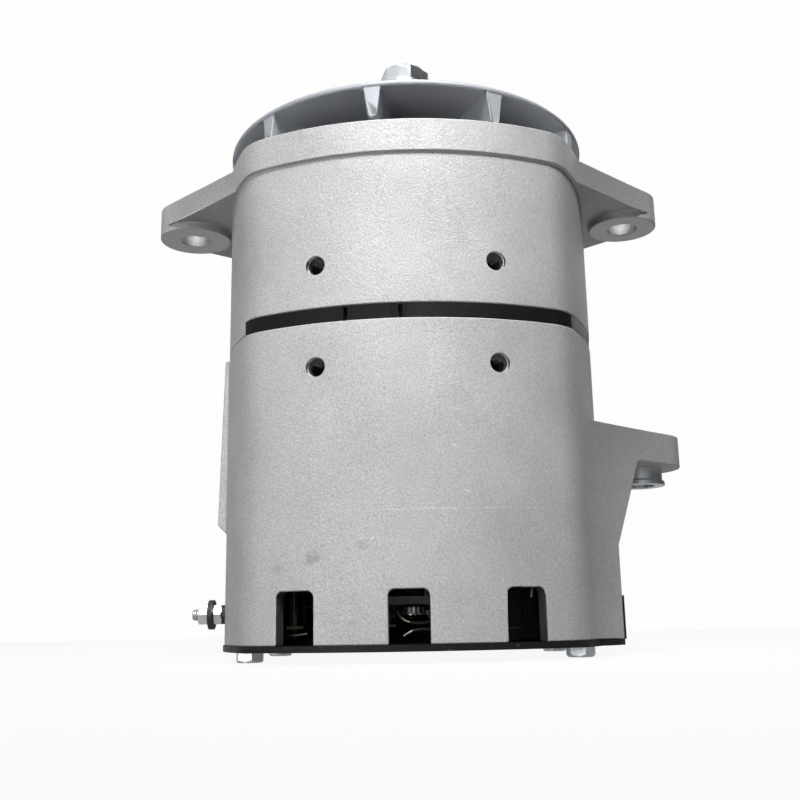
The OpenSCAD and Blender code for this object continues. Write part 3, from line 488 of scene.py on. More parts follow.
varnish = coated("black_varnish", (0.006, 0.006, 0.0075), (0.03, 0.03, 0.03), 0.42, 0.00003, 900.0, 0.14)
powder = coated("powder_coat", (0.008, 0.008, 0.009), (0.05, 0.05, 0.05), 0.42, 0.00003, 1400.0, 0.2)
moulded = coated("moulded_plastic", (0.02, 0.02, 0.022), (0.06, 0.06, 0.06), 0.45, 0.00003, 1800.0)
fibre = coated("insulating_fibre", (0.05, 0.03, 0.025), (0.12, 0.08, 0.06), 0.5, 0.00004, 1600.0)
resin = coated("former_resin", (0.62, 0.58, 0.48), (0.5, 0.45, 0.36), 0.5, 0.00003, 1200.0)
carbon = coated("brush_carbon", (0.03, 0.03, 0.032), (0.1, 0.1, 0.1), 0.55, 0.00004, 2600.0)

# %% Material: enamelled copper
copper, tree, shader, point = new_material("enamelled_copper", 0.9, 0.3, Coat_Weight=0.6)
marked = placed(tree, wear, Point=point, Size=120.0)
feed(tree, shader, {"Base Color": blend_colour(tree, marked["Patches"], (0.55, 0.22, 0.09),
                                               (0.36, 0.12, 0.05))})
bump(tree, shader, marked["Scratches"], 0.00003)
print("materials:", len(bpy.data.materials))

# %% [markdown]
# ## Finishes for the CAD nodes
# A node whose shape is right stays, and only its material slots change. One table says which
# finish belongs to which nodes, so nothing is left in the plain colour that it came with.

# %% Assign the finishes
FINISHES = [
    (housing_metal, "rear_housing front_housing"),
    (fan_metal_blue_shade, "fan"),
    (powder, "rear_cover"),
    (zinc, "cover_bolts long_bolts shaft_nut shaft_washer output_stud output_nut side_stud side_inner_nut "
           "side_outer_nut rectifier_screws regulator_screws retainer_screws brush_caps bearing_retainer "
           "hinge_bush"),
    (varnish, "stator_core"),
    (copper, "stator_winding field_coil"),
    (brass, "phase_leads phase_straps"),
    (steel, "shaft front_bearing_outer front_bearing_inner front_bearing_balls fan_spacer "
            "rear_bearing_outer rear_bearing_inner rear_bearing_balls"),
    (dark_steel, "rear_claw_pole front_claw_pole front_bearing_cage rear_bearing_cage shaft_key "
                 "negative_diodes positive_diodes"),
    (resin, "coil_former"),
    (fibre, "rectifier_insulators slip_ring_sleeve"),
    (ring_copper, "slip_rings"),
    (sink_metal, "negative_heat_sink positive_heat_sink"),
    (carbon, "upper_brush lower_brush"),
    (moulded, "brush_holder regulator output_insulator side_insulator side_washer"),
]
for finish, names in FINISHES:
    for name in names.split():
        nodes[name].data.materials.clear()
        nodes[name].data.materials.append(finish)
print("nodes without a finish:", sorted(set(nodes) - {n for _, names in FINISHES for n in names.split()}))

# %% [markdown]
# ## Outline of the body
# Seen from above, the body is a square with bowed sides and round corners. Its outline is eight arcs,
# worked out here once: the lamination band is swept along it, and its distance from the axis tells
# which faces and edges of a casting lie outside and which lie inside the walls.

# %% Outline of the body
HALF = (rear_high[1] - rear_low[1]) / 2
CORNER_AT, CORNER_R = 48.8 * MM, 21 * MM
# A wide arc touches both corner arcs beside it and reaches HALF from the axis, which gives its radius
SIDE_R = (CORNER_AT ** 2 + (HALF - CORNER_AT) ** 2 - CORNER_R ** 2) / (2 * (HALF - CORNER_AT - CORNER_R))
SIDE_AT = SIDE_R - HALF


def body_path(corner_points, side_points):
    """Points and outward directions along the body's outline. Each quarter is a corner arc and then a
    wide arc, and a direction is the unit vector from its arc's centre, so points grow exactly along it."""
    join = math.atan2(CORNER_AT + SIDE_AT, CORNER_AT)
    arcs = [((CORNER_AT, CORNER_AT), CORNER_R, math.pi / 2 - join, join, corner_points),
            ((0, -SIDE_AT), SIDE_R, join, math.pi - join, side_points)]
    at, out = [], []
    for centre, r, start, end, count in arcs:
        a = start + (end - start) * np.arange(count) / count
        way = np.stack([np.cos(a), np.sin(a)], -1)
        at.append(np.array(centre) + r * way)
        out.append(way)
    at, out = np.concatenate(at), np.concatenate(out)
    turns = [np.array([[math.cos(q), math.sin(q)], [-math.sin(q), math.cos(q)]]) for q in
             np.arange(4) * math.pi / 2]
    return np.concatenate([at @ t for t in turns]), np.concatenate([out @ t for t in turns])


path, outward = body_path(60, 40)
print("outline length (mm):", round(np.linalg.norm(np.roll(path, -1, 0) - path, axis=1).sum() / MM, 1))


def turn_of(points):
    """Each point's turn about the axis, from the front."""
    return np.arctan2(points[:, 0], -points[:, 1])


def aside_of(points, turns):
    """Length along the outline, about, from each point to the nearest of the turns."""
    off = turn_of(points)[:, None] - turns
    return np.abs((off + np.pi) % (2 * np.pi) - np.pi).min(1) * HALF


def outline_radius(turn):
    """Distance from the axis to the outline in the direction of turn, read off the dense path."""
    angles = turn_of(path)
    order = np.argsort(angles)
    return np.interp(turn, angles[order], np.linalg.norm(path, axis=1)[order], period=2 * math.pi)


def reach_and_wall(points):
    """Distance of each point from the axis, and that of the outline in the same direction."""
    return np.linalg.norm(points[:, :2], axis=1), outline_radius(turn_of(points))


# Each housing has a row of radial holes at the same distance from its joint with the core
FRONT_H, HOLE_IN, HOLE_R = 77 * MM, 17.7 * MM, 4 * MM
HOLE_TURNS = np.radians((-155, -90, -25, 25, 90, 155))
front_seat = front_top - FRONT_H
hole_levels = (rear_high[2] - HOLE_IN, front_seat + HOLE_IN)
core_mid = (rear_high[2] + front_seat) / 2
print("levels of the holes (mm):", [round(level / MM, 1) for level in hole_levels])

# %% [markdown]
# ## Rounded castings
# Every edge of a casting has a small radius, and it is this radius that catches a line of light
# along the windows, the collar and the ears. The CAD nodes are exact but sharp. Here a copy of each
# node is merged, its flat facets are joined into whole faces, and a Bevel modifier rounds the edges
# that carry its weight; a remesh would round them too, but it would blur the small holes. The radial
# holes carry no weight, because their sleeves bring a chamfer of their own, nor do edges inside walls.

# %% Faces and edges as arrays
def edge_angles(mesh):
    """Angle between the two faces at each edge, 0 where there aren't two. Two unit normals that differ
    by an angle add up to a vector of length 2 cos(angle / 2), so the sum's length gives the angle."""
    edge_of = read(mesh.loops, "edge_index", kind=np.int32)
    sides = read(mesh.polygons, "loop_total", kind=np.int32)
    total = np.zeros((len(mesh.edges), 3))
    np.add.at(total, edge_of, np.repeat(read(mesh.polygons, "normal", 3), sides, 0))
    angle = 2 * np.arccos(np.clip(np.linalg.norm(total, axis=1) / 2, 0, 1))
    return np.where(np.bincount(edge_of, minlength=len(mesh.edges)) == 2, angle, 0)


def at_radial_hole(points):
    """True where a point lies within a hole's radius and a little more of one of the radial holes."""
    aside, reach = aside_of(points, HOLE_TURNS), np.hypot(*points[:, :2].T)
    level = np.abs(points[:, 2:] - np.array(hole_levels)).min(1)
    return (aside < HOLE_R + 2 * MM) & (level < HOLE_R + 1 * MM) & (reach > 60 * MM)


# %% Round the edges of the castings
# An edge lies outside if it is within WALL_SKIN of the outline or past CORE_REACH from the core's middle
SHARP, WALL_SKIN, CORE_REACH = math.radians(32), 2.5 * MM, 60 * MM


def softened(node, name, body, finish, width):
    """A merged copy of a CAD node whose sharp edges get a radius of that width."""
    mesh = nodes[node].data.copy()
    mesh.name = name
    tidy = bmesh.new()
    tidy.from_mesh(mesh)
    bmesh.ops.remove_doubles(tidy, verts=tidy.verts, dist=2e-6)
    bmesh.ops.dissolve_limit(tidy, angle_limit=math.radians(0.6), verts=tidy.verts, edges=tidy.edges)
    tidy.to_mesh(mesh)
    tidy.free()
    if "custom_normal" in mesh.attributes:
        mesh.attributes.remove(mesh.attributes["custom_normal"])
    mesh.materials.clear()
    piece = shown(mesh, name, finish, SHARP)
    middle = read(mesh.vertices, "co", 3)[read(mesh.edges, "vertices", 2, np.int32)].mean(1)
    from_axis, wall = reach_and_wall(middle)
    outside = (from_axis > wall - WALL_SKIN) | (np.abs(middle[:, 2] - core_mid) > CORE_REACH)
    weight = (edge_angles(mesh) > SHARP) & outside & ~at_radial_hole(middle)
    carried = mesh.attributes.new("bevel_weight_edge", "FLOAT", "EDGE")
    carried.data.foreach_set("value", weight.astype(np.float32))
    bevel = piece.modifiers.new("edge_radius", "BEVEL")
    bevel.width = width
    bevel.segments = 3
    bevel.limit_method = "WEIGHT"
    bevel.use_clamp_overlap = False
    bevel.miter_outer = "MITER_ARC"
    bevel.harden_normals = True
    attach(piece, body)
    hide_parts(node)
    print(name, "faces:", len(mesh.polygons), "rounded edges:", int(weight.sum()))
    return piece


castings = [softened(node, node + "_casting", "housing", housing_metal, 0.0006)
            for node in ("rear_housing", "front_housing")]
softened("fan", "fan_casting", "rotor", fan_metal_blue_shade, 0.0005)

# %% [markdown]
# ## Lamination lines
# Between the two housings the edge of the stator core shows as a black band. The core is a stack of
# punched steel sheets, so the band has very fine level lines, and a few weld grooves cross it. A
# texture could draw the lines, but they catch real light, so the band is a ring whose profile has
# one small step for each sheet, carried along the same eight arcs as the body. The faces at the
# corner beside the hinge take a lighter grey steel finish.

# %% Lamination ring
SHEETS, RIDGE, GROOVE_W, GROOVE_D, SEAM = 9, 0.05 * MM, 2.2 * MM, 2.4 * MM, 0.05 * MM
GROOVE_TURNS = np.radians([-162, -75, -16.7, -1.6, 72, 162])
band_low, band_high = rear_high[2] + SEAM, front_seat - SEAM
# Four levels for each sheet, of which three lie on its ridge, and two more that close the ring inside
level = np.arange(SHEETS * 4 + 1)
ridge = RIDGE * (np.isin(level % 4, (1, 2, 3)) - 0.5)
offset = np.concatenate([[-3 * MM], ridge - 0.36 * MM, [-3 * MM]])
heights = np.concatenate([[band_low], band_low + (band_high - band_low) * level / level[-1], [band_high]])
# A groove cuts into the ring where the path is within half its width of the groove's turn
dip = GROOVE_D * (aside_of(path, GROOVE_TURNS) < GROOVE_W / 2)
depth = np.where(np.isin(np.arange(len(offset)), (0, len(offset) - 1))[:, None], 0, dip[None, :])
ring_xy = path[None] + outward[None] * (offset[:, None] - depth)[..., None]
ring_z = np.broadcast_to(heights[:, None, None], (*ring_xy.shape[:2], 1))
ring_points = np.concatenate([ring_xy, ring_z], -1).reshape(-1, 3)
ring_faces = grid_faces(len(offset), len(path), True)
laminations = put_mesh("lamination_ring", [(ring_points, ring_faces, [])], varnish, 25)
# The faces at the corner beside the hinge get a lighter grey than the black band
laminations.data.materials.append(grey_corner_sheets)
middles = read(laminations.data.polygons, "center", 3)
grey_corner = (middles[:, 0] > 66.5 * MM) & (middles[:, 1] < -20 * MM)
laminations.data.polygons.foreach_set("material_index", grey_corner.astype(np.int32))
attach(laminations, "housing")
print("sheets shown:", SHEETS, "band height (mm):", round((band_high - band_low) / MM, 2))

# %% [markdown]
# ## Flanged cover bolts
# Four small bolts hold the rear cover, and the machine stands on their heads. Each head is one
# turned profile: a sloping flange, then flats that a hexagon cuts into the turned shape. Where the
# chamfer's cone is smaller than the hexagon the surface stays round, which gives the curved edges
# of a real bolt head without any cutting.

# %% Cover bolts
def bolt_head(across, head, flange_r, flange_t):
    """Profile (r, z) of a flanged head that stands on z = 0, with its chamfer and a shallow dish on top."""
    corner = across / 2 / math.cos(math.pi / 6)
    top = corner * 0.86
    return [(1.5 * MM, 0), (flange_r - 0.3 * MM, 0), (flange_r, 0.3 * MM), (flange_r, 0.55 * MM),
            (corner + 0.15 * MM, flange_t), (corner + 0.02 * MM, flange_t + 0.05 * MM),
            (corner, flange_t + 0.2 * MM), (corner, head - 0.9 * MM), (top, head - 0.15 * MM),
            (top - 0.5 * MM, head), (top - 1.6 * MM, head), (top - 2.2 * MM, head - 0.35 * MM),
            (0.2 * MM, head - 0.45 * MM)]


ACROSS, HEAD_H, FLANGE_R, FLANGE_T = 10 * MM, 5.4 * MM, 6.1 * MM, 1.5 * MM
BOLT_X, BOLT_Y = 65.4 * MM, 42.4 * MM
seat_level = node_box("cover_bolts")[0][2] + HEAD_H
head = rounded(bolt_head(ACROSS, HEAD_H, FLANGE_R, FLANGE_T), 0.25 * MM, 3)
shank = [(0.2 * MM, 0.2 * MM), (2.98 * MM, 0.2 * MM), (2.98 * MM, -15 * MM), (0.2 * MM, -15 * MM)]
bolt_parts = []
for n, (sx, sy) in enumerate(((-1, -1), (1, -1), (1, 1), (-1, 1))):
    flip = at_place((sx * BOLT_X, sy * BOLT_Y, seat_level), (math.pi, "X"), (0.75 + 0.11 * n, "Z"))
    bolt_parts.append(turned(head, flip, 72, flats=(ACROSS, FLANGE_T + 0.04 * MM, HEAD_H)))
    bolt_parts.append(turned(shank, flip, 32))
cover_bolts = put_mesh("cover_bolt_heads", bolt_parts, zinc, 28)
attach(cover_bolts, "housing")
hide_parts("cover_bolts")

# %% [markdown]
# ## Cover lip
# The wing of the hinge stands out a little past the body, and the black sheet runs on under its foot
# and folds up against it. The lip's outline is the wing's foot: the line that touches both the circle
# round the shaft and the lug's end circle, cut where the wing's face is. For two circles that line's
# normal has a cosine of the difference of the radii over the distance of the centres.

# %% Cover lip
# Circle round the shaft, distance and radius of the lug's end circle, and distance of the wing's face
ARM_R, LUG_AT, LUG_R, WING_X = 84.6 * MM, 102 * MM, 18 * MM, 83.6 * MM
TAB_W, TAB_H, TAB_T, LIP_STEPS = 20 * MM, 17 * MM, 0.7 * MM, 24
cover_low, cover_high = node_box("rear_cover")
tilt = math.acos((ARM_R - LUG_R) / LUG_AT)
touch = np.array([math.cos(tilt), math.sin(tilt)]) * ARM_R
face_y = touch[1] - (WING_X - touch[0]) / math.tan(tilt)
along_wing = np.linspace(-1, 1, LIP_STEPS + 1)
outer_y = along_wing * touch[1]
outer_x = np.where(np.abs(outer_y) > face_y, touch[0] + (touch[1] - np.abs(outer_y)) * math.tan(tilt), WING_X)
inner_turn = np.pi / 2 + np.arctan2(outer_y, outer_x)
inner_r = outline_radius(inner_turn) - 0.4 * MM
rim = np.concatenate([
    np.stack([outer_x + 0.5 * MM, outer_y], -1),
    np.stack([inner_r * np.sin(inner_turn), -inner_r * np.cos(inner_turn)], -1)[::-1]])
lip_levels = (cover_low[2] + 0.05 * MM, cover_high[2] - 0.05 * MM)
lip_points = np.concatenate([np.column_stack([rim, np.full(len(rim), z)]) for z in lip_levels])
step = np.arange(LIP_STEPS)[:, None]
strips = np.concatenate([step, step + 1, len(rim) - 2 - step, len(rim) - 1 - step], 1)
lip_caps = [*strips[:, ::-1], *(strips + len(rim))]
tab = block((WING_X, -face_y, lip_levels[1]), (WING_X + TAB_T, -face_y + TAB_W, lip_levels[1] + TAB_H))
cover_lip = put_mesh("cover_lip", [(lip_points, grid_faces(2, len(rim)), lip_caps), tab], powder)
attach(cover_lip, "housing")
print("lip runs from y", round(-touch[1] / MM, 1), "to", round(touch[1] / MM, 1))

# %% [markdown]
# ## Threads
# A thread is a turned surface whose radius depends on both height and angle: the crest climbs by
# one pitch in one turn. Written as a triangle wave of height over pitch minus the share of the
# turn, it needs no helix to be swept.

# %% Threaded studs
# Radius and pitch of each thread
SIDE_THREAD, OUTPUT_THREAD, SHAFT_THREAD = (2.5 * MM, 0.8 * MM), (4 * MM, 1.25 * MM), (7.25 * MM, 1.5 * MM)


def threaded(radius, pitch, start, end, place, points=40, rows_per_pitch=8):
    """A rod along z from start to end. Its radius falls below the crest by a triangle wave of
    (z / pitch - angle / full turn), and both ends are chamfered."""
    count = int((end - start) / pitch * rows_per_pitch) + 1
    z = np.linspace(start, end, count)
    depth = 0.6 * pitch

    def cut(a, r, zz):
        phase = (zz / pitch - a / (2 * np.pi)) % 1
        wave = np.clip(np.abs(phase - 0.5) * 2.4 - 0.1, 0, 1)
        near_end = np.minimum(zz - start, end - zz)
        chamfer = np.clip(1 - near_end / (0.9 * pitch), 0, 1)
        return -np.maximum(depth * wave, depth * chamfer)

    return turned(np.stack([np.full(count, radius), z], -1), place, points, grow=cut)


stud_low, stud_high = node_box("side_stud")
stud_at = (stud_low + stud_high) / 2
along_x = at_place((stud_low[0], stud_at[1], stud_at[2]), (math.pi / 2, "Y"))
side_stud = put_mesh("side_stud_thread", [
    threaded(*SIDE_THREAD, 0, stud_high[0] - stud_low[0], along_x)], zinc)
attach(side_stud, "housing")
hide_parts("side_stud")

out_low, out_high = node_box("output_stud")
out_at = (out_low + out_high) / 2
along_y = at_place((out_at[0], out_high[1], out_at[2]), (math.pi / 2, "X"))
output_stud = put_mesh("output_stud_thread", [threaded(*OUTPUT_THREAD, 0, 34 * MM, along_y)], zinc)
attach(output_stud, "housing")

shaft_top = node_box("shaft")[1][2]
nut_low, nut_high = node_box("shaft_nut")
shaft_thread = put_mesh("shaft_end_thread", [
    threaded(*SHAFT_THREAD, nut_high[2] - 1 * MM, shaft_top - 0.15 * MM, Matrix.Identity(4), 64)], steel)
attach(shaft_thread, "rotor")

# %% [markdown]
# ## Hexagon nuts
# Nuts are the same kind of surface as the bolt heads: a profile turned round the axis, with the
# hexagon cutting it between two heights and a chamfer at both ends.

# %% Nuts
def nut(across, bore, height, place, points=96):
    """A ring whose outside is the smaller of the hexagon and two chamfer cones, and whose inside is the
    bore."""
    corner = across / 2 / math.cos(math.pi / 6)
    face = across / 2 * 0.96
    rise = (corner - face) * math.tan(math.radians(30))
    profile = [(bore, 0.5 * MM), (bore + 0.5 * MM, 0), (face, 0), (corner, rise), (corner, height - rise),
               (face, height), (bore + 0.5 * MM, height), (bore, height - 0.5 * MM), (bore, 0.5 * MM)]
    at, quads, _ = turned(rounded(profile, 0.18 * MM, 2), place, points, flats=(across, 0.3 * rise, height))
    return at, quads, []


NUT_TURN = math.radians(16.4)
nut_place = at_place((0, 0, nut_low[2]), (NUT_TURN, "Z"))
shaft_nut = put_mesh("shaft_hex_nut", [
    nut(21 * MM, 7.02 * MM, nut_high[2] - nut_low[2], nut_place)], zinc, 28)
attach(shaft_nut, "rotor")
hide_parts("shaft_nut")

for node in ("side_inner_nut", "side_outer_nut", "output_nut"):
    low, high = node_box(node)
    middle, size = (low + high) / 2, high - low
    if node == "output_nut":
        place = at_place((middle[0], low[1], middle[2]), (-math.pi / 2, "X"))
        height, bore, across = size[1], 4.02 * MM, min(size[0], size[2])
    else:
        place = at_place((high[0], middle[1], middle[2]), (-math.pi / 2, "Y"))
        height, bore, across = size[0], 2.52 * MM, min(size[1], size[2])
    made = put_mesh(node + "_hex", [nut(across, bore, height, place)], zinc, 28)
    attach(made, "housing")
    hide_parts(node)

# %% [markdown]
# ## Bored holes and painted shade
# Round holes through the walls were bored after casting. One thin sleeve in each hole shows its
# smooth grey bore and the small chamfer at its mouth: its profile runs in from the chamfer and is
# turned about an axis that points outwards. The sides of the windows and the inside of the walls stay
# out of the light, so the faces inside the outline get a near-black colour that paints their shade.

# %% Bore sleeves
OUTER, INNER, MOUTH, END = HOLE_R - 0.02 * MM, HOLE_R - 0.3 * MM, -0.25 * MM, -3.4 * MM
sleeve = [(OUTER, MOUTH), (INNER, -0.6 * MM), (INNER, END), (OUTER, END), (OUTER, MOUTH)]
sleeve_parts = []
for hole_level in hole_levels:
    for turn in HOLE_TURNS:
        reach = float(outline_radius(turn)) - 0.35 * MM
        mouth = (reach * math.sin(turn), -reach * math.cos(turn), hole_level)
        along = at_place(mouth, (turn, "Z"), (math.pi / 2, "X"))
        at, quads, _ = turned(sleeve, along, 48)
        sleeve_parts.append((at, quads, []))
bore_sleeves = put_mesh("bore_sleeves", sleeve_parts, bored, 30)
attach(bore_sleeves, "housing")

# %% Painted shade inside the walls
for piece in castings:
    centre, normal = (read(piece.data.polygons, what, 3) for what in ("center", "normal"))
    from_axis, wall = reach_and_wall(centre)
    outwards = (normal[:, :2] * centre[:, :2]).sum(1) / from_axis
    upright = np.abs(normal[:, 2]) < 0.5
    window_top = (normal[:, 2] < -0.5) & (centre[:, 2] < 32 * MM) & (centre[:, 2] > rear_low[2] + 1 * MM)
    # Faces inside the outline that face inwards, or down from a window's top, get the painted shade
    inner = (from_axis < wall - 1 * MM) & (window_top | (upright & (outwards < 0.6)))
    piece.data.materials.append(shade_painted_inside)
    piece.data.polygons.foreach_set("material_index", inner.astype(np.int32))
    print(piece.name, "inner faces:", int(inner.sum()), "of", len(inner))

# %% [markdown]
# ## Wound copper
# The winding heads at both ends of the core are bundles of thick enamelled wire. A solid ring would
# look moulded, so each end turn is its own tube: it leaves one slot, rises, leans over its
# neighbours and comes down three slots on. Two layers lean opposite ways and cross each other.

# %% Winding heads
def tubes(centres, radius, sides=8):
    """Closed round tubes along many paths at once. centres is (paths, steps, 3); each ring stands across
    the path, on a side vector that is the path's direction crossed with the outward radius."""
    way = np.gradient(centres, axis=1)
    way /= np.linalg.norm(way, axis=-1, keepdims=True)
    out = centres * np.array([1, 1, 0])
    out /= np.linalg.norm(out, axis=-1, keepdims=True)
    side = np.cross(way, out)
    side /= np.linalg.norm(side, axis=-1, keepdims=True)
    up = np.cross(side, way)
    a = np.arange(sides) * 2 * np.pi / sides
    ring = (centres[:, :, None] + radius * (np.cos(a)[None, None, :, None] * side[:, :, None]
                                            + np.sin(a)[None, None, :, None] * up[:, :, None]))
    steps = ring.shape[1]
    return [(points.reshape(-1, 3), grid_faces(steps, sides), end_caps(steps, sides)) for points in ring]


# Slots in the core and slots that a turn spans, height of a head and where it starts from the core's
# middle, and the radii in millimetres between which each layer leans
SLOTS, THROW, HEAD, HALF_CORE = 36, 3, 13.2 * MM, 27.2 * MM
LAYERS = ((61.2, 55.6), (55.4, 61.4))
t = np.linspace(0, 1, 15)[None, :]
slot = np.arange(SLOTS)[:, None]
head_parts = []
for end in (-1, 1):
    for layer, (r_start, r_end) in enumerate(LAYERS):
        for wire in (-1, 0, 1):
            turn = (slot + THROW * t * t * (3 - 2 * t)) * 2 * np.pi / SLOTS + wire * 0.016
            r = (r_start + (r_end - r_start) * t + 1.2 * np.sin(np.pi * t) * wire) * MM
            rise = (HEAD - abs(wire) * 0.9 * MM - layer * 1.4 * MM) * np.sin(np.pi * t) ** 0.45
            z = core_mid + end * (HALF_CORE + rise)
            points = np.stack(np.broadcast_arrays(r * np.cos(turn), r * np.sin(turn), z), -1)
            head_parts += tubes(points, 0.95 * MM, 6)
winding_heads = put_mesh("winding_heads", head_parts, copper, 60)
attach(winding_heads, "housing")
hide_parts("stator_winding")

# %% [markdown]
# ## Leads behind the windows
# Through the air windows one sees a few bent wires of the rectifier, dark where they are sleeved and
# bright at their tinned ends. They follow smooth curves through a few chosen points: the curve is a
# Catmull-Rom spline, which passes through every point, and the tube helper sweeps a circle along it.

# %% Rectifier leads
def spline(points, steps=8):
    """Points of a Catmull-Rom curve: between two points it is half of a cubic in t, and its slope at a
    point is half the step from the point before it to the point after it."""
    p = np.asarray(points, float)
    p = np.concatenate([2 * p[:1] - p[1:2], p, 2 * p[-1:] - p[-2:-1]])
    t = np.linspace(0, 1, steps, endpoint=False)[None, :, None]
    a, b, c, d = p[:-3, None], p[1:-2, None], p[2:-1, None], p[3:, None]
    square, cube = 2 * a - 5 * b + 4 * c - d, 3 * b - a - 3 * c + d
    curve = 0.5 * (2 * b + (c - a) * t + square * t ** 2 + cube * t ** 3)
    return np.concatenate([curve.reshape(-1, 3), p[-2:-1]])


# Points in millimetres: the bare ends first, then the sleeved lengths
bare_ends = [[(-4.2, -69.5, 16.2), (-2.8, -69.8, 15.2), (-1.2, -70, 14.6)],
             [(-3.6, -69.5, 9.6), (-1.8, -69.8, 10.7), (-0.2, -70, 11.5)],
             [(-46, -61.5, 10.3), (-43, -63, 10.6), (-40, -64.5, 11)],
             [(45.2, -60, 23), (45.6, -60, 26), (45.4, -59, 29)]]
sleeved = [[(-1.2, -70, 14.6), (3, -70, 14.2), (8, -69.5, 14.9), (14, -67, 16), (20, -62, 18)],
           [(-0.2, -70, 11.5), (4, -70, 11.9), (10, -69, 11.5), (16, -66, 11.8), (21, -61, 14)],
           [(-46, -61.5, 10.3), (-50, -58.5, 9.8), (-54, -54, 11), (-55, -48, 14)],
           [(34, -64, 11.2), (38, -63.5, 11.6), (42, -61.5, 12.4), (46, -58, 14)]]
LEADS = (("lead_ends", bare_ends, 0.42, brass), ("lead_sleeves", sleeved, 0.6, moulded))
for title, wires, radius, finish in LEADS:
    lead_parts = []
    for wire in wires:
        lead_parts += tubes(spline(wire)[None] * MM, radius * MM, 10)
    made = put_mesh(title, lead_parts, finish, 50)
    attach(made, "housing")

# %% [markdown]
# ## Regulator block and painted shade
# Under the regulator hangs a dark moulded block, which closes the view through the right window. It
# stands in for the parts behind the window, and its near-black colour paints the shade seen there.
# It is a block whose upright faces carry a few moulding ribs. A Bevel modifier rounds it, because a
# moulding has no sharp edge.

# %% Regulator block, dark for painted shade
RIBS, RIB_STEP, RIB_W, RIB_OUT = 4, 6 * MM, 1.6 * MM, 0.8 * MM
reg_low = node_box("regulator")[0]
plug_low = np.array([reg_low[0] + 5 * MM, reg_low[1] + 1 * MM, rear_low[2] + 0.4 * MM])
plug_high = np.array([reg_low[0] + 33 * MM, reg_low[1] + 13 * MM, reg_low[2]])
plug_parts = [block(plug_low, plug_high)]
for n in range(RIBS):
    rib_x = plug_low[0] + 4 * MM + n * RIB_STEP
    plug_parts.append(block((rib_x, plug_low[1] - RIB_OUT, plug_low[2] + 6 * MM),
                            (rib_x + RIB_W, plug_low[1], plug_high[2] - 4 * MM)))
# The block's near-black finish paints the shade seen through the right window
shade_block = put_mesh("regulator_shade_block", plug_parts, moulded)
rounding = shade_block.modifiers.new("edge_radius", "BEVEL")
rounding.width = 0.3 * MM
rounding.segments = 2
rounding.limit_method = "ANGLE"
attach(shade_block, "housing")

# %% [markdown]
# ## Studio
# The machine stands on a pale sheet in soft light. One light in front and above makes the upper half
# of the body brighter than the lower one: its beam is narrow, so it fades towards the foot. A second
# one low on the left lifts the left half of the rear housing, and one behind draws the far edges. The
# sheet is white to the camera but dimmer to the machine, so the undersides of the ears and the fan
# stay dark, and its bounce is a little warm. The room is brighter on the left than on the right, and
# polished parts see it brighter than matt ones do, so that bolts and nuts get one light face and one
# dark one.

# %% Floor, world and lights
floor_mesh = bpy.data.meshes.new("floor")
floor_mesh.from_pydata([(-0.8, -0.8, 0), (0.8, -0.8, 0), (0.8, 0.8, 0), (-0.8, 0.8, 0)], [], [(0, 1, 2, 3)])
floor = bpy.data.objects.new("floor", floor_mesh)
scene.collection.objects.link(floor)
GLOSSY_LIFT, ROOM_LEFT, ROOM_RIGHT, MATT_SHARE, GLOSSY_SHARE = 0.35, 1.0, 0.12, 0.1, 0.66
pale, tree, shader, _ = new_material("pale_sheet", 0.0, 0.9, (0.93, 0.93, 0.93))
glow = add_node(tree, "Emission", {"Color": (1, 1, 1, 1), "Strength": 0.98})
dim = add_node(tree, "BsdfDiffuse", {"Color": (0.26, 0.245, 0.225, 1)})
lifted = add_node(tree, "MixShader", {0: 0.06, 1: glow.outputs[0], 2: shader.outputs[0]})
seen_by = add_node(tree, "LightPath").outputs
glossy = times(tree, seen_by["Is Glossy Ray"], GLOSSY_LIFT)
lift = math_node(tree, "ADD", seen_by["Is Camera Ray"], glossy, clamp=True)
both = add_node(tree, "MixShader", {0: lift, 1: dim.outputs[0], 2: lifted.outputs[0]})
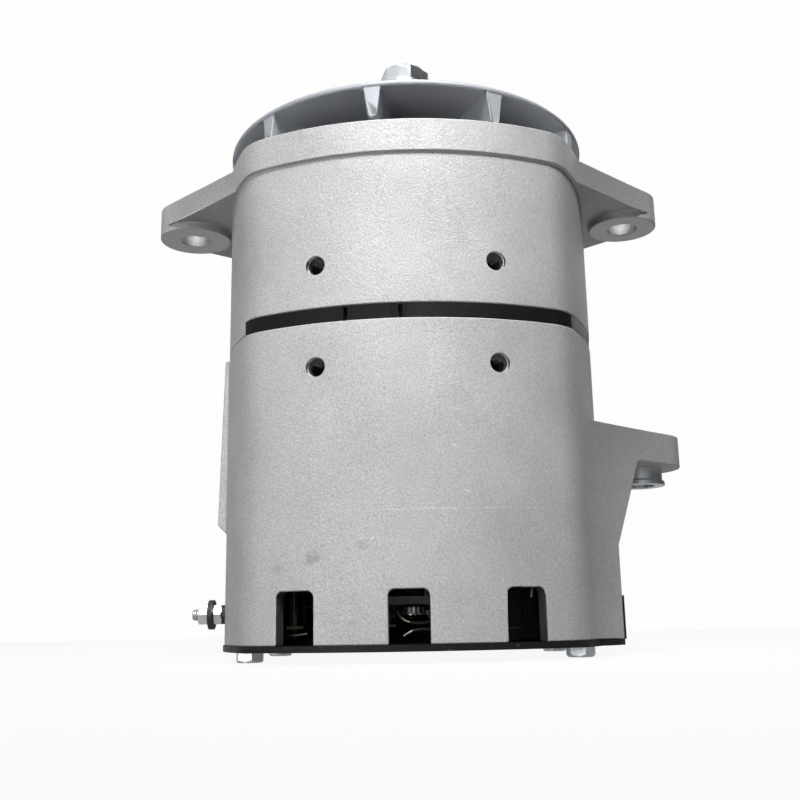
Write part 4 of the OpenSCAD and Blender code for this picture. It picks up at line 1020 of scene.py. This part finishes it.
feed(tree, tree.nodes["Material Output"], {0: both.outputs[0]})
floor_mesh.materials.append(pale)
floor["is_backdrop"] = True

world = bpy.data.worlds.new("studio")
scene.world = world
world.use_nodes = True
sky = world.node_tree
background = sky.nodes["Background"]
way = add_node(sky, "SeparateXYZ", {0: add_node(sky, "TexCoord").outputs["Generated"]})
rays = add_node(sky, "LightPath").outputs
room = spread(sky, way.outputs[0], -0.5, 0.8, ROOM_LEFT, ROOM_RIGHT)
ambient = spread(sky, rays["Is Glossy Ray"], 0, 1, MATT_SHARE, GLOSSY_SHARE)
feed(sky, background, {"Color": (1, 1, 1, 1), "Strength": times(sky, room, ambient)})
seen = add_node(sky, "Background", {"Color": (0.985, 0.985, 0.98, 1), "Strength": 1.0})
choose = add_node(sky, "MixShader", {
    0: rays["Is Camera Ray"], 1: background.outputs[0], 2: seen.outputs[0]})
feed(sky, sky.nodes["World Output"], {0: choose.outputs[0]})


def area_light(name, at, aim, size, power, beam=180):
    """A rectangular light at one point that faces another. Its beam is the angle that it lights."""
    light = bpy.data.lights.new(name, "AREA")
    light.shape = "RECTANGLE"
    light.size, light.size_y = size
    light.energy = power
    light.spread = math.radians(beam)
    made = bpy.data.objects.new(name, light)
    made.location = at
    made.rotation_euler = (Vector(aim) - Vector(at)).to_track_quat("-Z", "Y").to_euler()
    scene.collection.objects.link(made)


area_light("main_light", (0.05, -0.58, 0.88), (0.015, -0.08, 0.215), (0.35, 0.3), power=1.3, beam=55)
area_light("low_left_light", (-0.38, -0.7, 0.05), (-0.04, -0.08, 0.06), (0.3, 0.3), power=0.68, beam=110)
area_light("back_light", (0.5, 0.9, 0.9), (0, 0, 0.15), (0.8, 0.8), power=4)
scene.view_settings.view_transform = "Standard"

# %% [markdown]
# ## Finish
# The dressed model's box is measured, and how far it has grown past the CAD box is printed in
# millimetres.

# %% Sizes
new_low, new_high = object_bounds()
grown = [(v - c) / MM for v, c in zip((*new_low, *new_high), (*cad_low, *cad_high))]
print("grown by (mm):", [round(g, 2) for g in grown])
